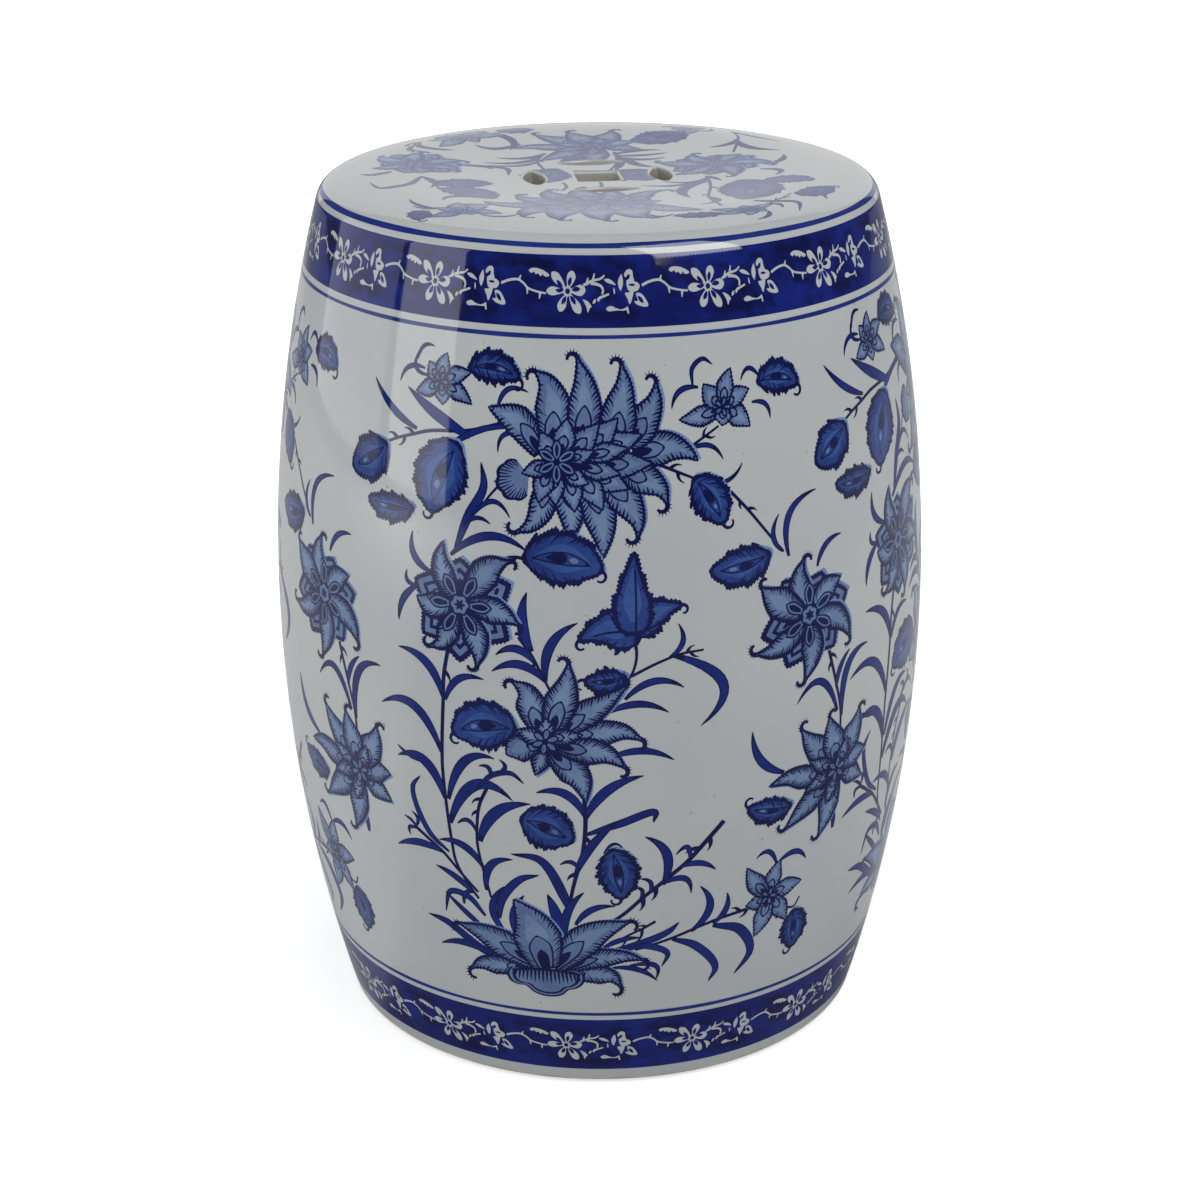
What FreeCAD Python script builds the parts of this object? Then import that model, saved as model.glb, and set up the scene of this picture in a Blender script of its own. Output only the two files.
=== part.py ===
import FreeCAD, Part
import Sketcher
import os
from math import asin, atan2, pi, sqrt

from FreeCAD import Vector

# A glazed drum-shaped garden stool, made as press-moulded clay sections luted together:
# a pierced seat with a turned-down skirt, two halves of the barrel that part at its widest
# line, and a foot ring with an inward flange. Four small pads lie under the bare foot.
# Origin: on the floor, on the drum's axis. +Z up. The sides of the square hole lie along X and Y.

doc = FreeCAD.newDocument("garden_stool")

# Sizes in millimetres, angles in degrees. Heights are measured from the floor.
sizes = [
    ("overall_height", 457, "floor to the highest ring of the seat"),
    ("belly_radius", 174, "outside radius at the widest line"),
    ("belly_height", 229, "height of the widest line, where the two halves meet"),
    ("flank_radius", 830, "radius of the drum's outline, seen from the side"),
    ("wall_thickness", 7, "barrel wall, skirt and foot wall"),
    ("seam_ridge_height", 2.5, "how far the luting ridge stands in from the wall"),
    ("seam_ridge_half", 12, "reach of the ridge above and below the seam"),
    ("seat_thickness", 11, "clay of the seat at its middle"),
    ("skirt_depth", 26, "crest of the seat down to the joint with the wall"),
    ("dish_depth", 4, "how far the middle of the seat lies below its crest"),
    ("crest_radius", 110, "radius of the seat's highest ring"),
    ("brow_radius", 150, "outline of the seat just outside its crest"),
    ("shoulder_radius", 13, "rounding between the brow and the flank"),
    ("inner_corner_radius", 8, "rounding under the seat, inside the skirt"),
    ("square_side", 22, "side of the square hole"),
    ("lens_length", 36, "tip to tip of a lens-shaped hole, before its tips are rounded"),
    ("lens_width", 11, "widest part of a lens-shaped hole"),
    ("lens_offset", 33, "stool's axis to the middle of a lens-shaped hole"),
    ("lens_count", 4, "lens-shaped holes round the square one"),
    ("hole_corner_radius", 1.4, "rounding of the holes' upright corners"),
    ("hole_edge_radius", 1.2, "softened upper edge of the holes"),
    ("foot_height", 30, "floor to the joint between foot ring and wall"),
    ("foot_edge_radius", 3, "rounding of the foot's outer lower edge"),
    ("rim_flat_width", 13, "flat ring that is ground level"),
    ("rim_inner_radius", 1.5, "rounding of the flat ring's inner edge"),
    ("foot_recess", 4, "how far the flange lies above the flat ring"),
    ("flange_reach", 18, "flat ring's inner edge to the base opening"),
    ("flange_thickness", 8, "clay of the flange"),
    ("flange_nose_radius", 3, "rounding of the flange's edge"),
    ("flange_corner_radius", 7, "rounding between flange and wall"),
    ("pad_thickness", 1.5, "pad, from the floor to the flat ring"),
    ("pad_diameter", 10, "pad, across"),
    ("pad_edge_bevel", 0.4, "bevel of the pad's lower edge"),
    ("pad_count", 4, "pads under the foot"),
    ("pad_first_angle", 45, "first pad, turned from the X axis"),
]

sheet = doc.addObject("Spreadsheet::Sheet", "Sizes")
for row, (alias, value, note) in enumerate(sizes, 1):
    sheet.set(f"A{row}", alias)
    sheet.set(f"B{row}", str(value))
    sheet.setAlias(f"B{row}", alias)
    sheet.set(f"C{row}", note)
doc.recompute()


def size(alias):
    return float(sheet.get(alias))


# Formulas that several features share, in the words of the sheet
flank_centre = "(Sizes.flank_radius - Sizes.belly_radius)"
foot_rise = "(Sizes.belly_height - Sizes.pad_thickness)"
foot_radius = f"(sqrt(Sizes.flank_radius ^ 2 - {foot_rise} ^ 2) - {flank_centre})"
rim_outside = f"({foot_radius} - Sizes.foot_edge_radius)"
rim_inside = f"({rim_outside} - Sizes.rim_flat_width)"
rim_middle = f"({rim_outside} - Sizes.rim_flat_width / 2)"
joint_height = "(Sizes.overall_height - Sizes.skirt_depth)"
seat_middle = "(Sizes.overall_height - Sizes.dish_depth)"
seat_underside = f"({seat_middle} - Sizes.seat_thickness)"
flange_underside = "(Sizes.pad_thickness + Sizes.foot_recess)"
flange_upside = f"({flange_underside} + Sizes.flange_thickness)"

# The same outline as numbers, to draw each sketch close to its final shape
flank_x = size("belly_radius") - size("flank_radius")
flank_z = size("belly_height")
outer_r = size("flank_radius")
inner_r = size("flank_radius") - size("wall_thickness")
joint_z = size("overall_height") - size("skirt_depth")
crest_z = size("overall_height")


def origin_plane(body, role):
    for feature in body.Origin.OriginFeatures:
        if feature.Role == role:
            return feature


def add_sketch(body, name, role="XZ_Plane"):
    sketch = body.newObject("Sketcher::SketchObject", name)
    sketch.AttachmentSupport = [(origin_plane(body, role), "")]
    sketch.MapMode = "FlatFace"
    return sketch


def line(sketch, start, end):
    return sketch.addGeometry(Part.LineSegment(Vector(*start, 0), Vector(*end, 0)), False)


def arc(sketch, centre, radius, start, end):
    # Anticlockwise from the point start to the point end
    first = atan2(start[1] - centre[1], start[0] - centre[0])
    last = atan2(end[1] - centre[1], end[0] - centre[0])
    if last < first:
        last += 2 * pi
    circle = Part.Circle(Vector(*centre, 0), Vector(0, 0, 1), radius)
    return sketch.addGeometry(Part.ArcOfCircle(circle, first, last), False)


def rule(sketch, *words):
    sketch.addConstraint(Sketcher.Constraint(*words))


def drive(sketch, name, formula, *words):
    index = sketch.addConstraint(Sketcher.Constraint(*words))
    sketch.renameConstraint(index, name)
    sketch.setExpression("Constraints." + name, formula)


def flank_point(radius, height):
    # Point of the drum's outline, or of its parallel inside face, at a height
    return flank_x + sqrt(radius ** 2 - (height - flank_z) ** 2), height


def circles_meet(centre, radius, other_centre, other_radius):
    # The upper of the two points that lie on both circles
    dx = other_centre[0] - centre[0]
    dz = other_centre[1] - centre[1]
    gap = sqrt(dx ** 2 + dz ** 2)
    along = (gap ** 2 + radius ** 2 - other_radius ** 2) / (2 * gap)
    aside = sqrt(radius ** 2 - along ** 2)
    near = (centre[0] + along * dx / gap, centre[1] + along * dz / gap)
    first = (near[0] - aside * dz / gap, near[1] + aside * dx / gap)
    second = (near[0] + aside * dz / gap, near[1] - aside * dx / gap)
    return max(first, second, key=lambda point: point[1])


def towards(centre, target, length):
    dx = target[0] - centre[0]
    dz = target[1] - centre[1]
    gap = sqrt(dx ** 2 + dz ** 2)
    return centre[0] + dx * length / gap, centre[1] + dz * length / gap


def place_flank(sketch, outside, inside):
    # Outer and inner faces of the wall share one centre, so the wall keeps its thickness
    rule(sketch, "Coincident", outside, 3, inside, 3)
    drive(sketch, "centre_back", flank_centre, "DistanceX", outside, 3, -1, 1, -flank_x)
    drive(sketch, "centre_up", "Sizes.belly_height", "DistanceY", -1, 1, outside, 3, flank_z)
    drive(sketch, "outer_curve", "Sizes.flank_radius", "Radius", outside, outer_r)
    inner_formula = "Sizes.flank_radius - Sizes.wall_thickness"
    drive(sketch, "inner_curve", inner_formula, "Radius", inside, inner_r)


def revolve(body, sketch, name):
    doc.recompute()
    turned = body.newObject("PartDesign::Revolution", name)
    turned.Profile = sketch
    turned.ReferenceAxis = (sketch, ["V_Axis"])
    turned.Angle = 360
    body.Tip = turned
    doc.recompute()
    return turned


def fillet(body, name, base, edges, radius_formula):
    rounded = body.newObject("PartDesign::Fillet", name)
    rounded.Base = (base, edges)
    rounded.setExpression("Radius", radius_formula)
    body.Tip = rounded
    doc.recompute()
    return rounded


def edges_where(feature, test):
    return [f"Edge{i}" for i, edge in enumerate(feature.Shape.Edges, 1) if test(edge)]


def ring_edges(feature, radius, height):
    # Full circles about the stool's axis, at one radius and height
    def is_ring(edge):
        curve = edge.Curve
        if not isinstance(curve, Part.Circle):
            return False
        return abs(curve.Radius - radius) < 0.01 and abs(curve.Center.z - height) < 0.01
    return edges_where(feature, is_ring)


def new_body(label):
    body = doc.addObject("PartDesign::Body", label)
    body.Label = label
    return body


# Barrel halves

def add_wall(body, low_formula, low, high_formula, high):
    sketch = add_sketch(body, body.Label + "_section")
    centre = (flank_x, flank_z)
    outside = arc(sketch, centre, outer_r, flank_point(outer_r, low), flank_point(outer_r, high))
    inside = arc(sketch, centre, inner_r, flank_point(inner_r, low), flank_point(inner_r, high))
    top = line(sketch, flank_point(outer_r, high), flank_point(inner_r, high))
    bottom = line(sketch, flank_point(inner_r, low), flank_point(outer_r, low))
    rule(sketch, "Coincident", outside, 2, top, 1)
    rule(sketch, "Coincident", top, 2, inside, 2)
    rule(sketch, "Coincident", inside, 1, bottom, 1)
    rule(sketch, "Coincident", bottom, 2, outside, 1)
    rule(sketch, "Horizontal", top)
    rule(sketch, "Horizontal", bottom)
    place_flank(sketch, outside, inside)
    drive(sketch, "low_face", low_formula, "DistanceY", -1, 1, bottom, 1, low)
    drive(sketch, "high_face", high_formula, "DistanceY", -1, 1, top, 1, high)
    return revolve(body, sketch, body.Label + "_shell")


def add_seam_ridge(body, side):
    # Half of the clay ridge that is pressed over the seam inside: side is 1 above it, -1 below
    wall = size("wall_thickness")
    seam_z = size("belly_height")
    nose_x = size("belly_radius") - wall - size("seam_ridge_height")
    root_x = size("belly_radius") - wall * 3 / 4
    back_x = size("belly_radius") - wall / 2
    tail_z = seam_z + side * size("seam_ridge_half")
    rise = root_x - nose_x
    radius = (size("seam_ridge_half") ** 2 + rise ** 2) / (2 * rise)
    centre = (nose_x + radius, seam_z)
    sketch = add_sketch(body, body.Label + "_ridge_section")
    ends = [(nose_x, seam_z), (root_x, tail_z)]
    if side > 0:
        ends.reverse()
    curve = arc(sketch, centre, radius, *ends)
    nose, tail = (2, 1) if side > 0 else (1, 2)
    tail_line = line(sketch, (root_x, tail_z), (back_x, tail_z))
    back_line = line(sketch, (back_x, tail_z), (back_x, seam_z))
    seam_line = line(sketch, (back_x, seam_z), (nose_x, seam_z))
    rule(sketch, "Coincident", curve, tail, tail_line, 1)
    rule(sketch, "Coincident", tail_line, 2, back_line, 1)
    rule(sketch, "Coincident", back_line, 2, seam_line, 1)
    rule(sketch, "Coincident", seam_line, 2, curve, nose)
    rule(sketch, "Horizontal", tail_line)
    rule(sketch, "Vertical", back_line)
    rule(sketch, "Horizontal", seam_line)
    seam = "Sizes.belly_height"
    drive(sketch, "seam_up", seam, "DistanceY", -1, 1, seam_line, 1, seam_z)
    drive(sketch, "centre_up", seam, "DistanceY", -1, 1, curve, 3, seam_z)
    tail_sign = "+" if side > 0 else "-"
    tail_formula = f"Sizes.belly_height {tail_sign} Sizes.seam_ridge_half"
    drive(sketch, "tail_up", tail_formula, "DistanceY", -1, 1, tail_line, 1, tail_z)
    nose_formula = "Sizes.belly_radius - Sizes.wall_thickness - Sizes.seam_ridge_height"
    drive(sketch, "nose_out", nose_formula, "DistanceX", -1, 1, curve, nose, nose_x)
    root_formula = "Sizes.belly_radius - Sizes.wall_thickness * 3 / 4"
    drive(sketch, "root_out", root_formula, "DistanceX", -1, 1, tail_line, 1, root_x)
    back_formula = "Sizes.belly_radius - Sizes.wall_thickness / 2"
    drive(sketch, "back_out", back_formula, "DistanceX", -1, 1, back_line, 1, back_x)
    return revolve(body, sketch, body.Label + "_ridge")


upper_wall = new_body("upper_wall")
add_wall(upper_wall, "Sizes.belly_height", flank_z, joint_height, joint_z)
add_seam_ridge(upper_wall, 1)

lower_wall = new_body("lower_wall")
add_wall(lower_wall, "Sizes.foot_height", size("foot_height"), "Sizes.belly_height", flank_z)
add_seam_ridge(lower_wall, -1)


# Seat

def add_seat_disc(body):
    # Half section: a shallow dish, a brow that falls away from the crest, a tight shoulder,
    # the flank down to the joint, then back inside and along the flat underside to the axis
    dish = size("dish_depth")
    crest = size("crest_radius")
    brow_r = size("brow_radius")
    shoulder_r = size("shoulder_radius")
    corner_r = size("inner_corner_radius")
    middle_z = crest_z - dish
    under_z = middle_z - size("seat_thickness")
    dish_r = (crest ** 2 + dish ** 2) / (2 * dish) - brow_r

    flank = (flank_x, flank_z)
    dish_c = (0, middle_z + dish_r)
    brow_c = (crest, crest_z - brow_r)
    shoulder_c = circles_meet(brow_c, brow_r - shoulder_r, flank, outer_r - shoulder_r)
    corner_z = under_z - corner_r
    corner_c = flank_point(inner_r - corner_r, corner_z)

    dish_end = towards(dish_c, brow_c, dish_r)
    brow_end = towards(brow_c, shoulder_c, brow_r)
    shoulder_end = towards(flank, shoulder_c, outer_r)
    corner_start = towards(flank, corner_c, inner_r)

    sketch = add_sketch(body, "seat_section")
    dish_arc = arc(sketch, dish_c, dish_r, (0, middle_z), dish_end)
    brow_arc = arc(sketch, brow_c, brow_r, brow_end, dish_end)
    shoulder_arc = arc(sketch, shoulder_c, shoulder_r, shoulder_end, brow_end)
    skirt_arc = arc(sketch, flank, outer_r, flank_point(outer_r, joint_z), shoulder_end)
    joint_line = line(sketch, flank_point(outer_r, joint_z), flank_point(inner_r, joint_z))
    inside_arc = arc(sketch, flank, inner_r, flank_point(inner_r, joint_z), corner_start)
    corner_arc = arc(sketch, corner_c, corner_r, corner_start, (corner_c[0], under_z))
    under_line = line(sketch, (corner_c[0], under_z), (0, under_z))
    axis_line = line(sketch, (0, under_z), (0, middle_z))

    rule(sketch, "Tangent", dish_arc, 2, brow_arc, 2)
    rule(sketch, "Tangent", brow_arc, 1, shoulder_arc, 2)
    rule(sketch, "Tangent", shoulder_arc, 1, skirt_arc, 2)
    rule(sketch, "Coincident", skirt_arc, 1, joint_line, 1)
    rule(sketch, "Coincident", joint_line, 2, inside_arc, 1)
    rule(sketch, "Tangent", inside_arc, 2, corner_arc, 1)
    rule(sketch, "Tangent", corner_arc, 2, under_line, 1)
    rule(sketch, "Coincident", under_line, 2, axis_line, 1)
    rule(sketch, "Coincident", axis_line, 2, dish_arc, 1)
    rule(sketch, "Horizontal", joint_line)
    rule(sketch, "Horizontal", under_line)
    rule(sketch, "Vertical", axis_line)
    rule(sketch, "PointOnObject", axis_line, 1, -2)
    rule(sketch, "PointOnObject", dish_arc, 3, -2)
    place_flank(sketch, skirt_arc, inside_arc)
    drive(sketch, "shoulder_curve", "Sizes.shoulder_radius", "Radius", shoulder_arc, shoulder_r)
    drive(sketch, "brow_curve", "Sizes.brow_radius", "Radius", brow_arc, brow_r)
    drive(sketch, "corner_curve", "Sizes.inner_corner_radius", "Radius", corner_arc, corner_r)
    drive(sketch, "joint_up", joint_height, "DistanceY", -1, 1, joint_line, 1, joint_z)
    drive(sketch, "under_up", seat_underside, "DistanceY", -1, 1, under_line, 2, under_z)
    drive(sketch, "middle_up", seat_middle, "DistanceY", -1, 1, dish_arc, 1, middle_z)
    drive(sketch, "brow_out", "Sizes.crest_radius", "DistanceX", -1, 1, brow_arc, 3, crest)
    brow_up = "Sizes.overall_height - Sizes.brow_radius"
    drive(sketch, "brow_up", brow_up, "DistanceY", -1, 1, brow_arc, 3, brow_c[1])
    return revolve(body, sketch, "seat_disc")


def cut_through(body, sketch, name):
    doc.recompute()
    before = body.Shape.Volume
    pocket = body.newObject("PartDesign::Pocket", name)
    pocket.Profile = sketch
    pocket.Type = "ThroughAll"
    pocket.Reversed = True
    body.Tip = pocket
    doc.recompute()
    if body.Shape.Volume > before - 1:
        raise RuntimeError(name + " cuts nothing")
    return pocket


def cut_square(body):
    half = size("square_side") / 2
    corners = [(-half, -half), (half, -half), (half, half), (-half, half)]
    sketch = add_sketch(body, "square_outline", "XY_Plane")
    sides = [line(sketch, corners[i], corners[(i + 1) % 4]) for i in range(4)]
    for i in range(4):
        rule(sketch, "Coincident", sides[i], 2, sides[(i + 1) % 4], 1)
        rule(sketch, "Horizontal" if i % 2 == 0 else "Vertical", sides[i])
    side = "Sizes.square_side"
    drive(sketch, "across", side, "DistanceX", sides[0], 1, sides[0], 2, 2 * half)
    drive(sketch, "deep", side, "DistanceY", sides[1], 1, sides[1], 2, 2 * half)
    rule(sketch, "Symmetric", sides[0], 1, sides[1], 2, -1, 1)
    return cut_through(body, sketch, "square_hole")


def cut_lenses(body):
    # One lens between two equal arcs, its long way square to the line from the axis,
    # and its copies round the axis: together the holes draw an old round coin
    half_long = size("lens_length") / 2
    half_wide = size("lens_width") / 2
    middle = size("lens_offset")
    radius = (half_long ** 2 + half_wide ** 2) / (2 * half_wide)
    reach = radius - half_wide
    sketch = add_sketch(body, "lens_outline", "XY_Plane")
    near_tip = (middle, -half_long)
    far_tip = (middle, half_long)
    outer = arc(sketch, (middle - reach, 0), radius, near_tip, far_tip)
    inner = arc(sketch, (middle + reach, 0), radius, far_tip, near_tip)
    rule(sketch, "Coincident", outer, 2, inner, 1)
    rule(sketch, "Coincident", inner, 2, outer, 1)
    rule(sketch, "Equal", outer, inner)
    rule(sketch, "PointOnObject", outer, 3, -1)
    rule(sketch, "PointOnObject", inner, 3, -1)
    half_long_formula = "Sizes.lens_length / 2"
    drive(sketch, "tip_up", half_long_formula, "DistanceY", -1, 1, outer, 2, half_long)
    drive(sketch, "tip_out", "Sizes.lens_offset", "DistanceX", -1, 1, outer, 2, middle)
    curve = "((Sizes.lens_length / 2) ^ 2 + (Sizes.lens_width / 2) ^ 2) / Sizes.lens_width"
    drive(sketch, "curve", curve, "Radius", outer, radius)
    pocket = cut_through(body, sketch, "lens_hole")
    pattern = body.newObject("PartDesign::PolarPattern", "lens_holes")
    pattern.Originals = [pocket]
    pattern.Axis = (sketch, ["N_Axis"])
    pattern.Angle = 360
    pattern.setExpression("Occurrences", "Sizes.lens_count")
    body.Tip = pattern
    doc.recompute()
    return pattern


def soften_holes(body, base):
    # Upright corners first, then the whole upper edge of each hole
    hole_reach = size("lens_offset") + size("lens_length")

    def is_corner(edge):
        box = edge.BoundBox
        return box.ZLength > 5 and box.XLength < 0.01 and box.XMax < hole_reach

    corners = edges_where(base, is_corner)
    rounded = fillet(body, "hole_corners", base, corners, "Sizes.hole_corner_radius")
    dish_low = crest_z - size("dish_depth") - 0.5

    def is_rim(edge):
        box = edge.BoundBox
        far = max(abs(box.XMax), abs(box.XMin), abs(box.YMax), abs(box.YMin))
        return box.ZMin > dish_low and 0 < far < hole_reach and edge.Length < 2 * hole_reach

    rims = edges_where(rounded, is_rim)
    return fillet(body, "hole_rims", rounded, rims, "Sizes.hole_edge_radius")


seat_top = new_body("seat_top")
add_seat_disc(seat_top)
cut_square(seat_top)
pierced = cut_lenses(seat_top)
soften_holes(seat_top, pierced)


# Foot ring

def add_foot_section(body):
    # Flank and inside wall above, a flat ring that carries the stool, and a flange that
    # turns in above it and leaves the base open in the middle
    low = size("pad_thickness")
    high = size("foot_height")
    outside_low = flank_point(outer_r, low)
    rim_in = outside_low[0] - size("foot_edge_radius") - size("rim_flat_width")
    open_r = rim_in - size("flange_reach")
    under_z = low + size("foot_recess")
    upper_z = under_z + size("flange_thickness")

    sketch = add_sketch(body, "foot_section")
    centre = (flank_x, flank_z)
    outside = arc(sketch, centre, outer_r, outside_low, flank_point(outer_r, high))
    inside = arc(sketch, centre, inner_r, flank_point(inner_r, upper_z), flank_point(inner_r, high))
    corners = [outside_low, (rim_in, low), (rim_in, under_z), (open_r, under_z),
               (open_r, upper_z), flank_point(inner_r, upper_z)]
    lines = [line(sketch, corners[i], corners[i + 1]) for i in range(5)]
    rim, step, under, nose, upper = lines
    joint = line(sketch, flank_point(inner_r, high), flank_point(outer_r, high))
    rule(sketch, "Coincident", outside, 1, rim, 1)
    for i in range(4):
        rule(sketch, "Coincident", lines[i], 2, lines[i + 1], 1)
    rule(sketch, "Coincident", upper, 2, inside, 1)
    rule(sketch, "Coincident", inside, 2, joint, 1)
    rule(sketch, "Coincident", joint, 2, outside, 2)
    for level in (rim, under, upper, joint):
        rule(sketch, "Horizontal", level)
    for upright in (step, nose):
        rule(sketch, "Vertical", upright)
    place_flank(sketch, outside, inside)
    drive(sketch, "rim_up", "Sizes.pad_thickness", "DistanceY", -1, 1, rim, 2, low)
    drive(sketch, "joint_up", "Sizes.foot_height", "DistanceY", -1, 1, joint, 1, high)
    drive(sketch, "under_up", flange_underside, "DistanceY", -1, 1, under, 2, under_z)
    drive(sketch, "upper_up", flange_upside, "DistanceY", -1, 1, upper, 1, upper_z)
    drive(sketch, "rim_in", rim_inside, "DistanceX", -1, 1, rim, 2, rim_in)
    opening = f"{rim_inside} - Sizes.flange_reach"
    drive(sketch, "open_out", opening, "DistanceX", -1, 1, under, 2, open_r)
    ring = revolve(body, sketch, "foot_profile")

    edge = ring_edges(ring, outside_low[0], low)
    ring = fillet(body, "foot_edge", ring, edge, "Sizes.foot_edge_radius")
    edge = ring_edges(ring, rim_in, low)
    ring = fillet(body, "rim_edge", ring, edge, "Sizes.rim_inner_radius")
    edge = ring_edges(ring, open_r, under_z) + ring_edges(ring, open_r, upper_z)
    ring = fillet(body, "flange_nose", ring, edge, "Sizes.flange_nose_radius")
    edge = ring_edges(ring, flank_point(inner_r, upper_z)[0], upper_z)
    return fillet(body, "flange_corner", ring, edge, "Sizes.flange_corner_radius")


foot_ring = new_body("foot_ring")
add_foot_section(foot_ring)


# Floor pads

def make_pad(number):
    pad = new_body(f"floor_pad_{number}")
    outside = flank_point(outer_r, size("pad_thickness"))[0] - size("foot_edge_radius")
    middle = outside - size("rim_flat_width") / 2
    sketch = add_sketch(pad, f"pad_outline_{number}", "XY_Plane")
    disc = Part.Circle(Vector(middle, 0, 0), Vector(0, 0, 1), size("pad_diameter") / 2)
    ring = sketch.addGeometry(disc, False)
    rule(sketch, "PointOnObject", ring, 3, -1)
    drive(sketch, "middle_out", rim_middle, "DistanceX", -1, 1, ring, 3, middle)
    drive(sketch, "across", "Sizes.pad_diameter", "Diameter", ring, size("pad_diameter"))
    doc.recompute()
    block = pad.newObject("PartDesign::Pad", f"pad_disc_{number}")
    block.Profile = sketch
    block.setExpression("Length", "Sizes.pad_thickness")
    pad.Tip = block
    doc.recompute()
    bevel = pad.newObject("PartDesign::Chamfer", f"pad_edge_{number}")
    bevel.Base = (block, edges_where(block, lambda each: each.BoundBox.ZMax < 0.01))
    bevel.setExpression("Size", "Sizes.pad_edge_bevel")
    pad.Tip = bevel
    doc.recompute()
    pad.Placement = FreeCAD.Placement(Vector(0, 0, 0), FreeCAD.Rotation(Vector(0, 0, 1), 1))
    turn = f"Sizes.pad_first_angle + {number - 1} * 360 / Sizes.pad_count"
    pad.setExpression("Placement.Rotation.Angle", turn)
    return pad


pads = [make_pad(number) for number in range(1, int(size("pad_count")) + 1)]

doc.recompute()

# Nothing is written unless every feature is sound
bodies = [seat_top, upper_wall, lower_wall, foot_ring] + pads
for item in doc.Objects:
    if "Invalid" in item.State or "Error" in item.State:
        raise RuntimeError(f"{item.Label} did not build")
for body in bodies:
    if body.Shape.isNull() or not body.Shape.isValid() or len(body.Shape.Solids) != 1:
        raise RuntimeError(f"{body.Label} is not one sound solid")

os.makedirs("parts", exist_ok=True)
for body in bodies:
    body.Shape.exportStep(f"parts/{body.Label}.step")
    box = body.Shape.BoundBox
    span = f"{box.XLength:.1f} x {box.YLength:.1f} x {box.ZLength:.1f}"
    print(f"{body.Label}: {body.Shape.Volume / 1000:.1f} cm3, {span} mm, from z {box.ZMin:.1f}")
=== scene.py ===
import math

import bpy
import numpy as np
from mathutils import Matrix, Vector
from mathutils.geometry import delaunay_2d_cdt


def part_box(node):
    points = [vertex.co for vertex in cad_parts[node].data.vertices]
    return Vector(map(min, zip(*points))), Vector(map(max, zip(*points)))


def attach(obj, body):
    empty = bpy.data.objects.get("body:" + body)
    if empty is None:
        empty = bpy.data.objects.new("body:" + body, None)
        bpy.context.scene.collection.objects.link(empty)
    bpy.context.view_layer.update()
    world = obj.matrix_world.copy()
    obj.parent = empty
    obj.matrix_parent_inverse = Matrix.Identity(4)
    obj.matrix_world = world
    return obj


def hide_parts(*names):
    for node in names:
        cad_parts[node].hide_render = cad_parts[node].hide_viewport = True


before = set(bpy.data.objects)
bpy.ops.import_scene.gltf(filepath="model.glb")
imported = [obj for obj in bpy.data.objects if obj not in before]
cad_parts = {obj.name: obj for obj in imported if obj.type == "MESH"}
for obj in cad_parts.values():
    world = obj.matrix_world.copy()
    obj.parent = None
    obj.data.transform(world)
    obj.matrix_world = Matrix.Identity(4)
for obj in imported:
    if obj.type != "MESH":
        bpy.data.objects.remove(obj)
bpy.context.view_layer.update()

# A glazed garden stool: a white drum with a pierced seat and cobalt blue painting.
# Everything is worked out in millimetres and goes into Blender in metres.
# Each clay mesh replaces the section that it covers, and the painting lies on top of them.

mm = 0.001


def nodeSpan(node):
    # Lowest and highest corner of a CAD node, in whole tenths of a millimetre
    low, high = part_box(node)
    return [round(v / mm, 1) for v in low], [round(v / mm, 1) for v in high]


seatLow, seatHigh = nodeSpan("seat_top")
wallLow, wallHigh = nodeSpan("upper_wall")
footLow, footHigh = nodeSpan("foot_ring")

drum = {
    "height": seatHigh[2],
    "bellyRadius": wallHigh[0],
    "bellyHeight": wallLow[2],
    "skirtHeight": seatLow[2],
    "footHeight": footHigh[2],
    "footLow": footLow[2],
    "flankRadius": 830.0,
    "wall": 7.0,
    "ridgeHeight": 2.5,
    "ridgeHalf": 12.0,
    "facets": 384,
    "rowHeight": 4.0,
    "innerRowHeight": 8.0,
}
mmPerDegree = math.radians(drum["bellyRadius"])
# The photograph looks at this side of the drum: drawings are set out in degrees from it
frontDegrees = -97.5

view = {
    "heading": 7.5,
    "distance": 1.3458,
    "height": 0.742,
    "pitch": 21.26,
    "roll": -0.3,
    "lens": 79.0,
    "sensor": 36.0,
    "nearest": 0.05,
}


# Outlines. A stretch is a run of points along an outline: radius, height and the way out there

def lengths(rows):
    return np.linalg.norm(rows, axis=1)


def pointAt(centre, radius, angle):
    return centre[0] + radius * math.cos(angle), centre[1] + radius * math.sin(angle)


def rotation(angle):
    c, s = math.cos(angle), math.sin(angle)
    return np.array([[c, -s], [s, c]])


def arcStretch(centre, radius, start, end, step, out=1):
    count = max(2, int(abs(end - start) * radius / step) + 1)
    a = np.linspace(start, end, count)
    c, s = np.cos(a), np.sin(a)
    return np.stack([centre[0] + radius * c, centre[1] + radius * s, out * c, out * s], axis=1)


def lineStretch(start, end):
    start, end = np.array(start, float), np.array(end, float)
    along = end - start
    length = np.linalg.norm(along)
    count = max(2, int(length / drum["rowHeight"]) + 1)
    points = start + along * np.linspace(0, 1, count)[:, None]
    out = np.array([along[1], -along[0]]) / length
    return np.hstack([points, np.tile(out, (count, 1))])


flankCentre = (drum["bellyRadius"] - drum["flankRadius"], drum["bellyHeight"])
outerRadius = drum["flankRadius"]
innerRadius = drum["flankRadius"] - drum["wall"]


def flankAngle(radius, height):
    return math.asin((height - flankCentre[1]) / radius)


def flankPoint(radius, height):
    a = flankAngle(radius, height)
    return flankCentre[0] + radius * math.cos(a), height


def outside(low, high):
    return arcStretch(flankCentre, outerRadius, flankAngle(outerRadius, low),
                      flankAngle(outerRadius, high), drum["rowHeight"])


def inside(high, low):
    return arcStretch(flankCentre, innerRadius, flankAngle(innerRadius, high),
                      flankAngle(innerRadius, low), drum["innerRowHeight"], -1)


def angleTo(centre, point):
    return math.atan2(point[1] - centre[1], point[0] - centre[0])


def towards(centre, target, length):
    return pointAt(centre, length, angleTo(centre, target))


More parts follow.
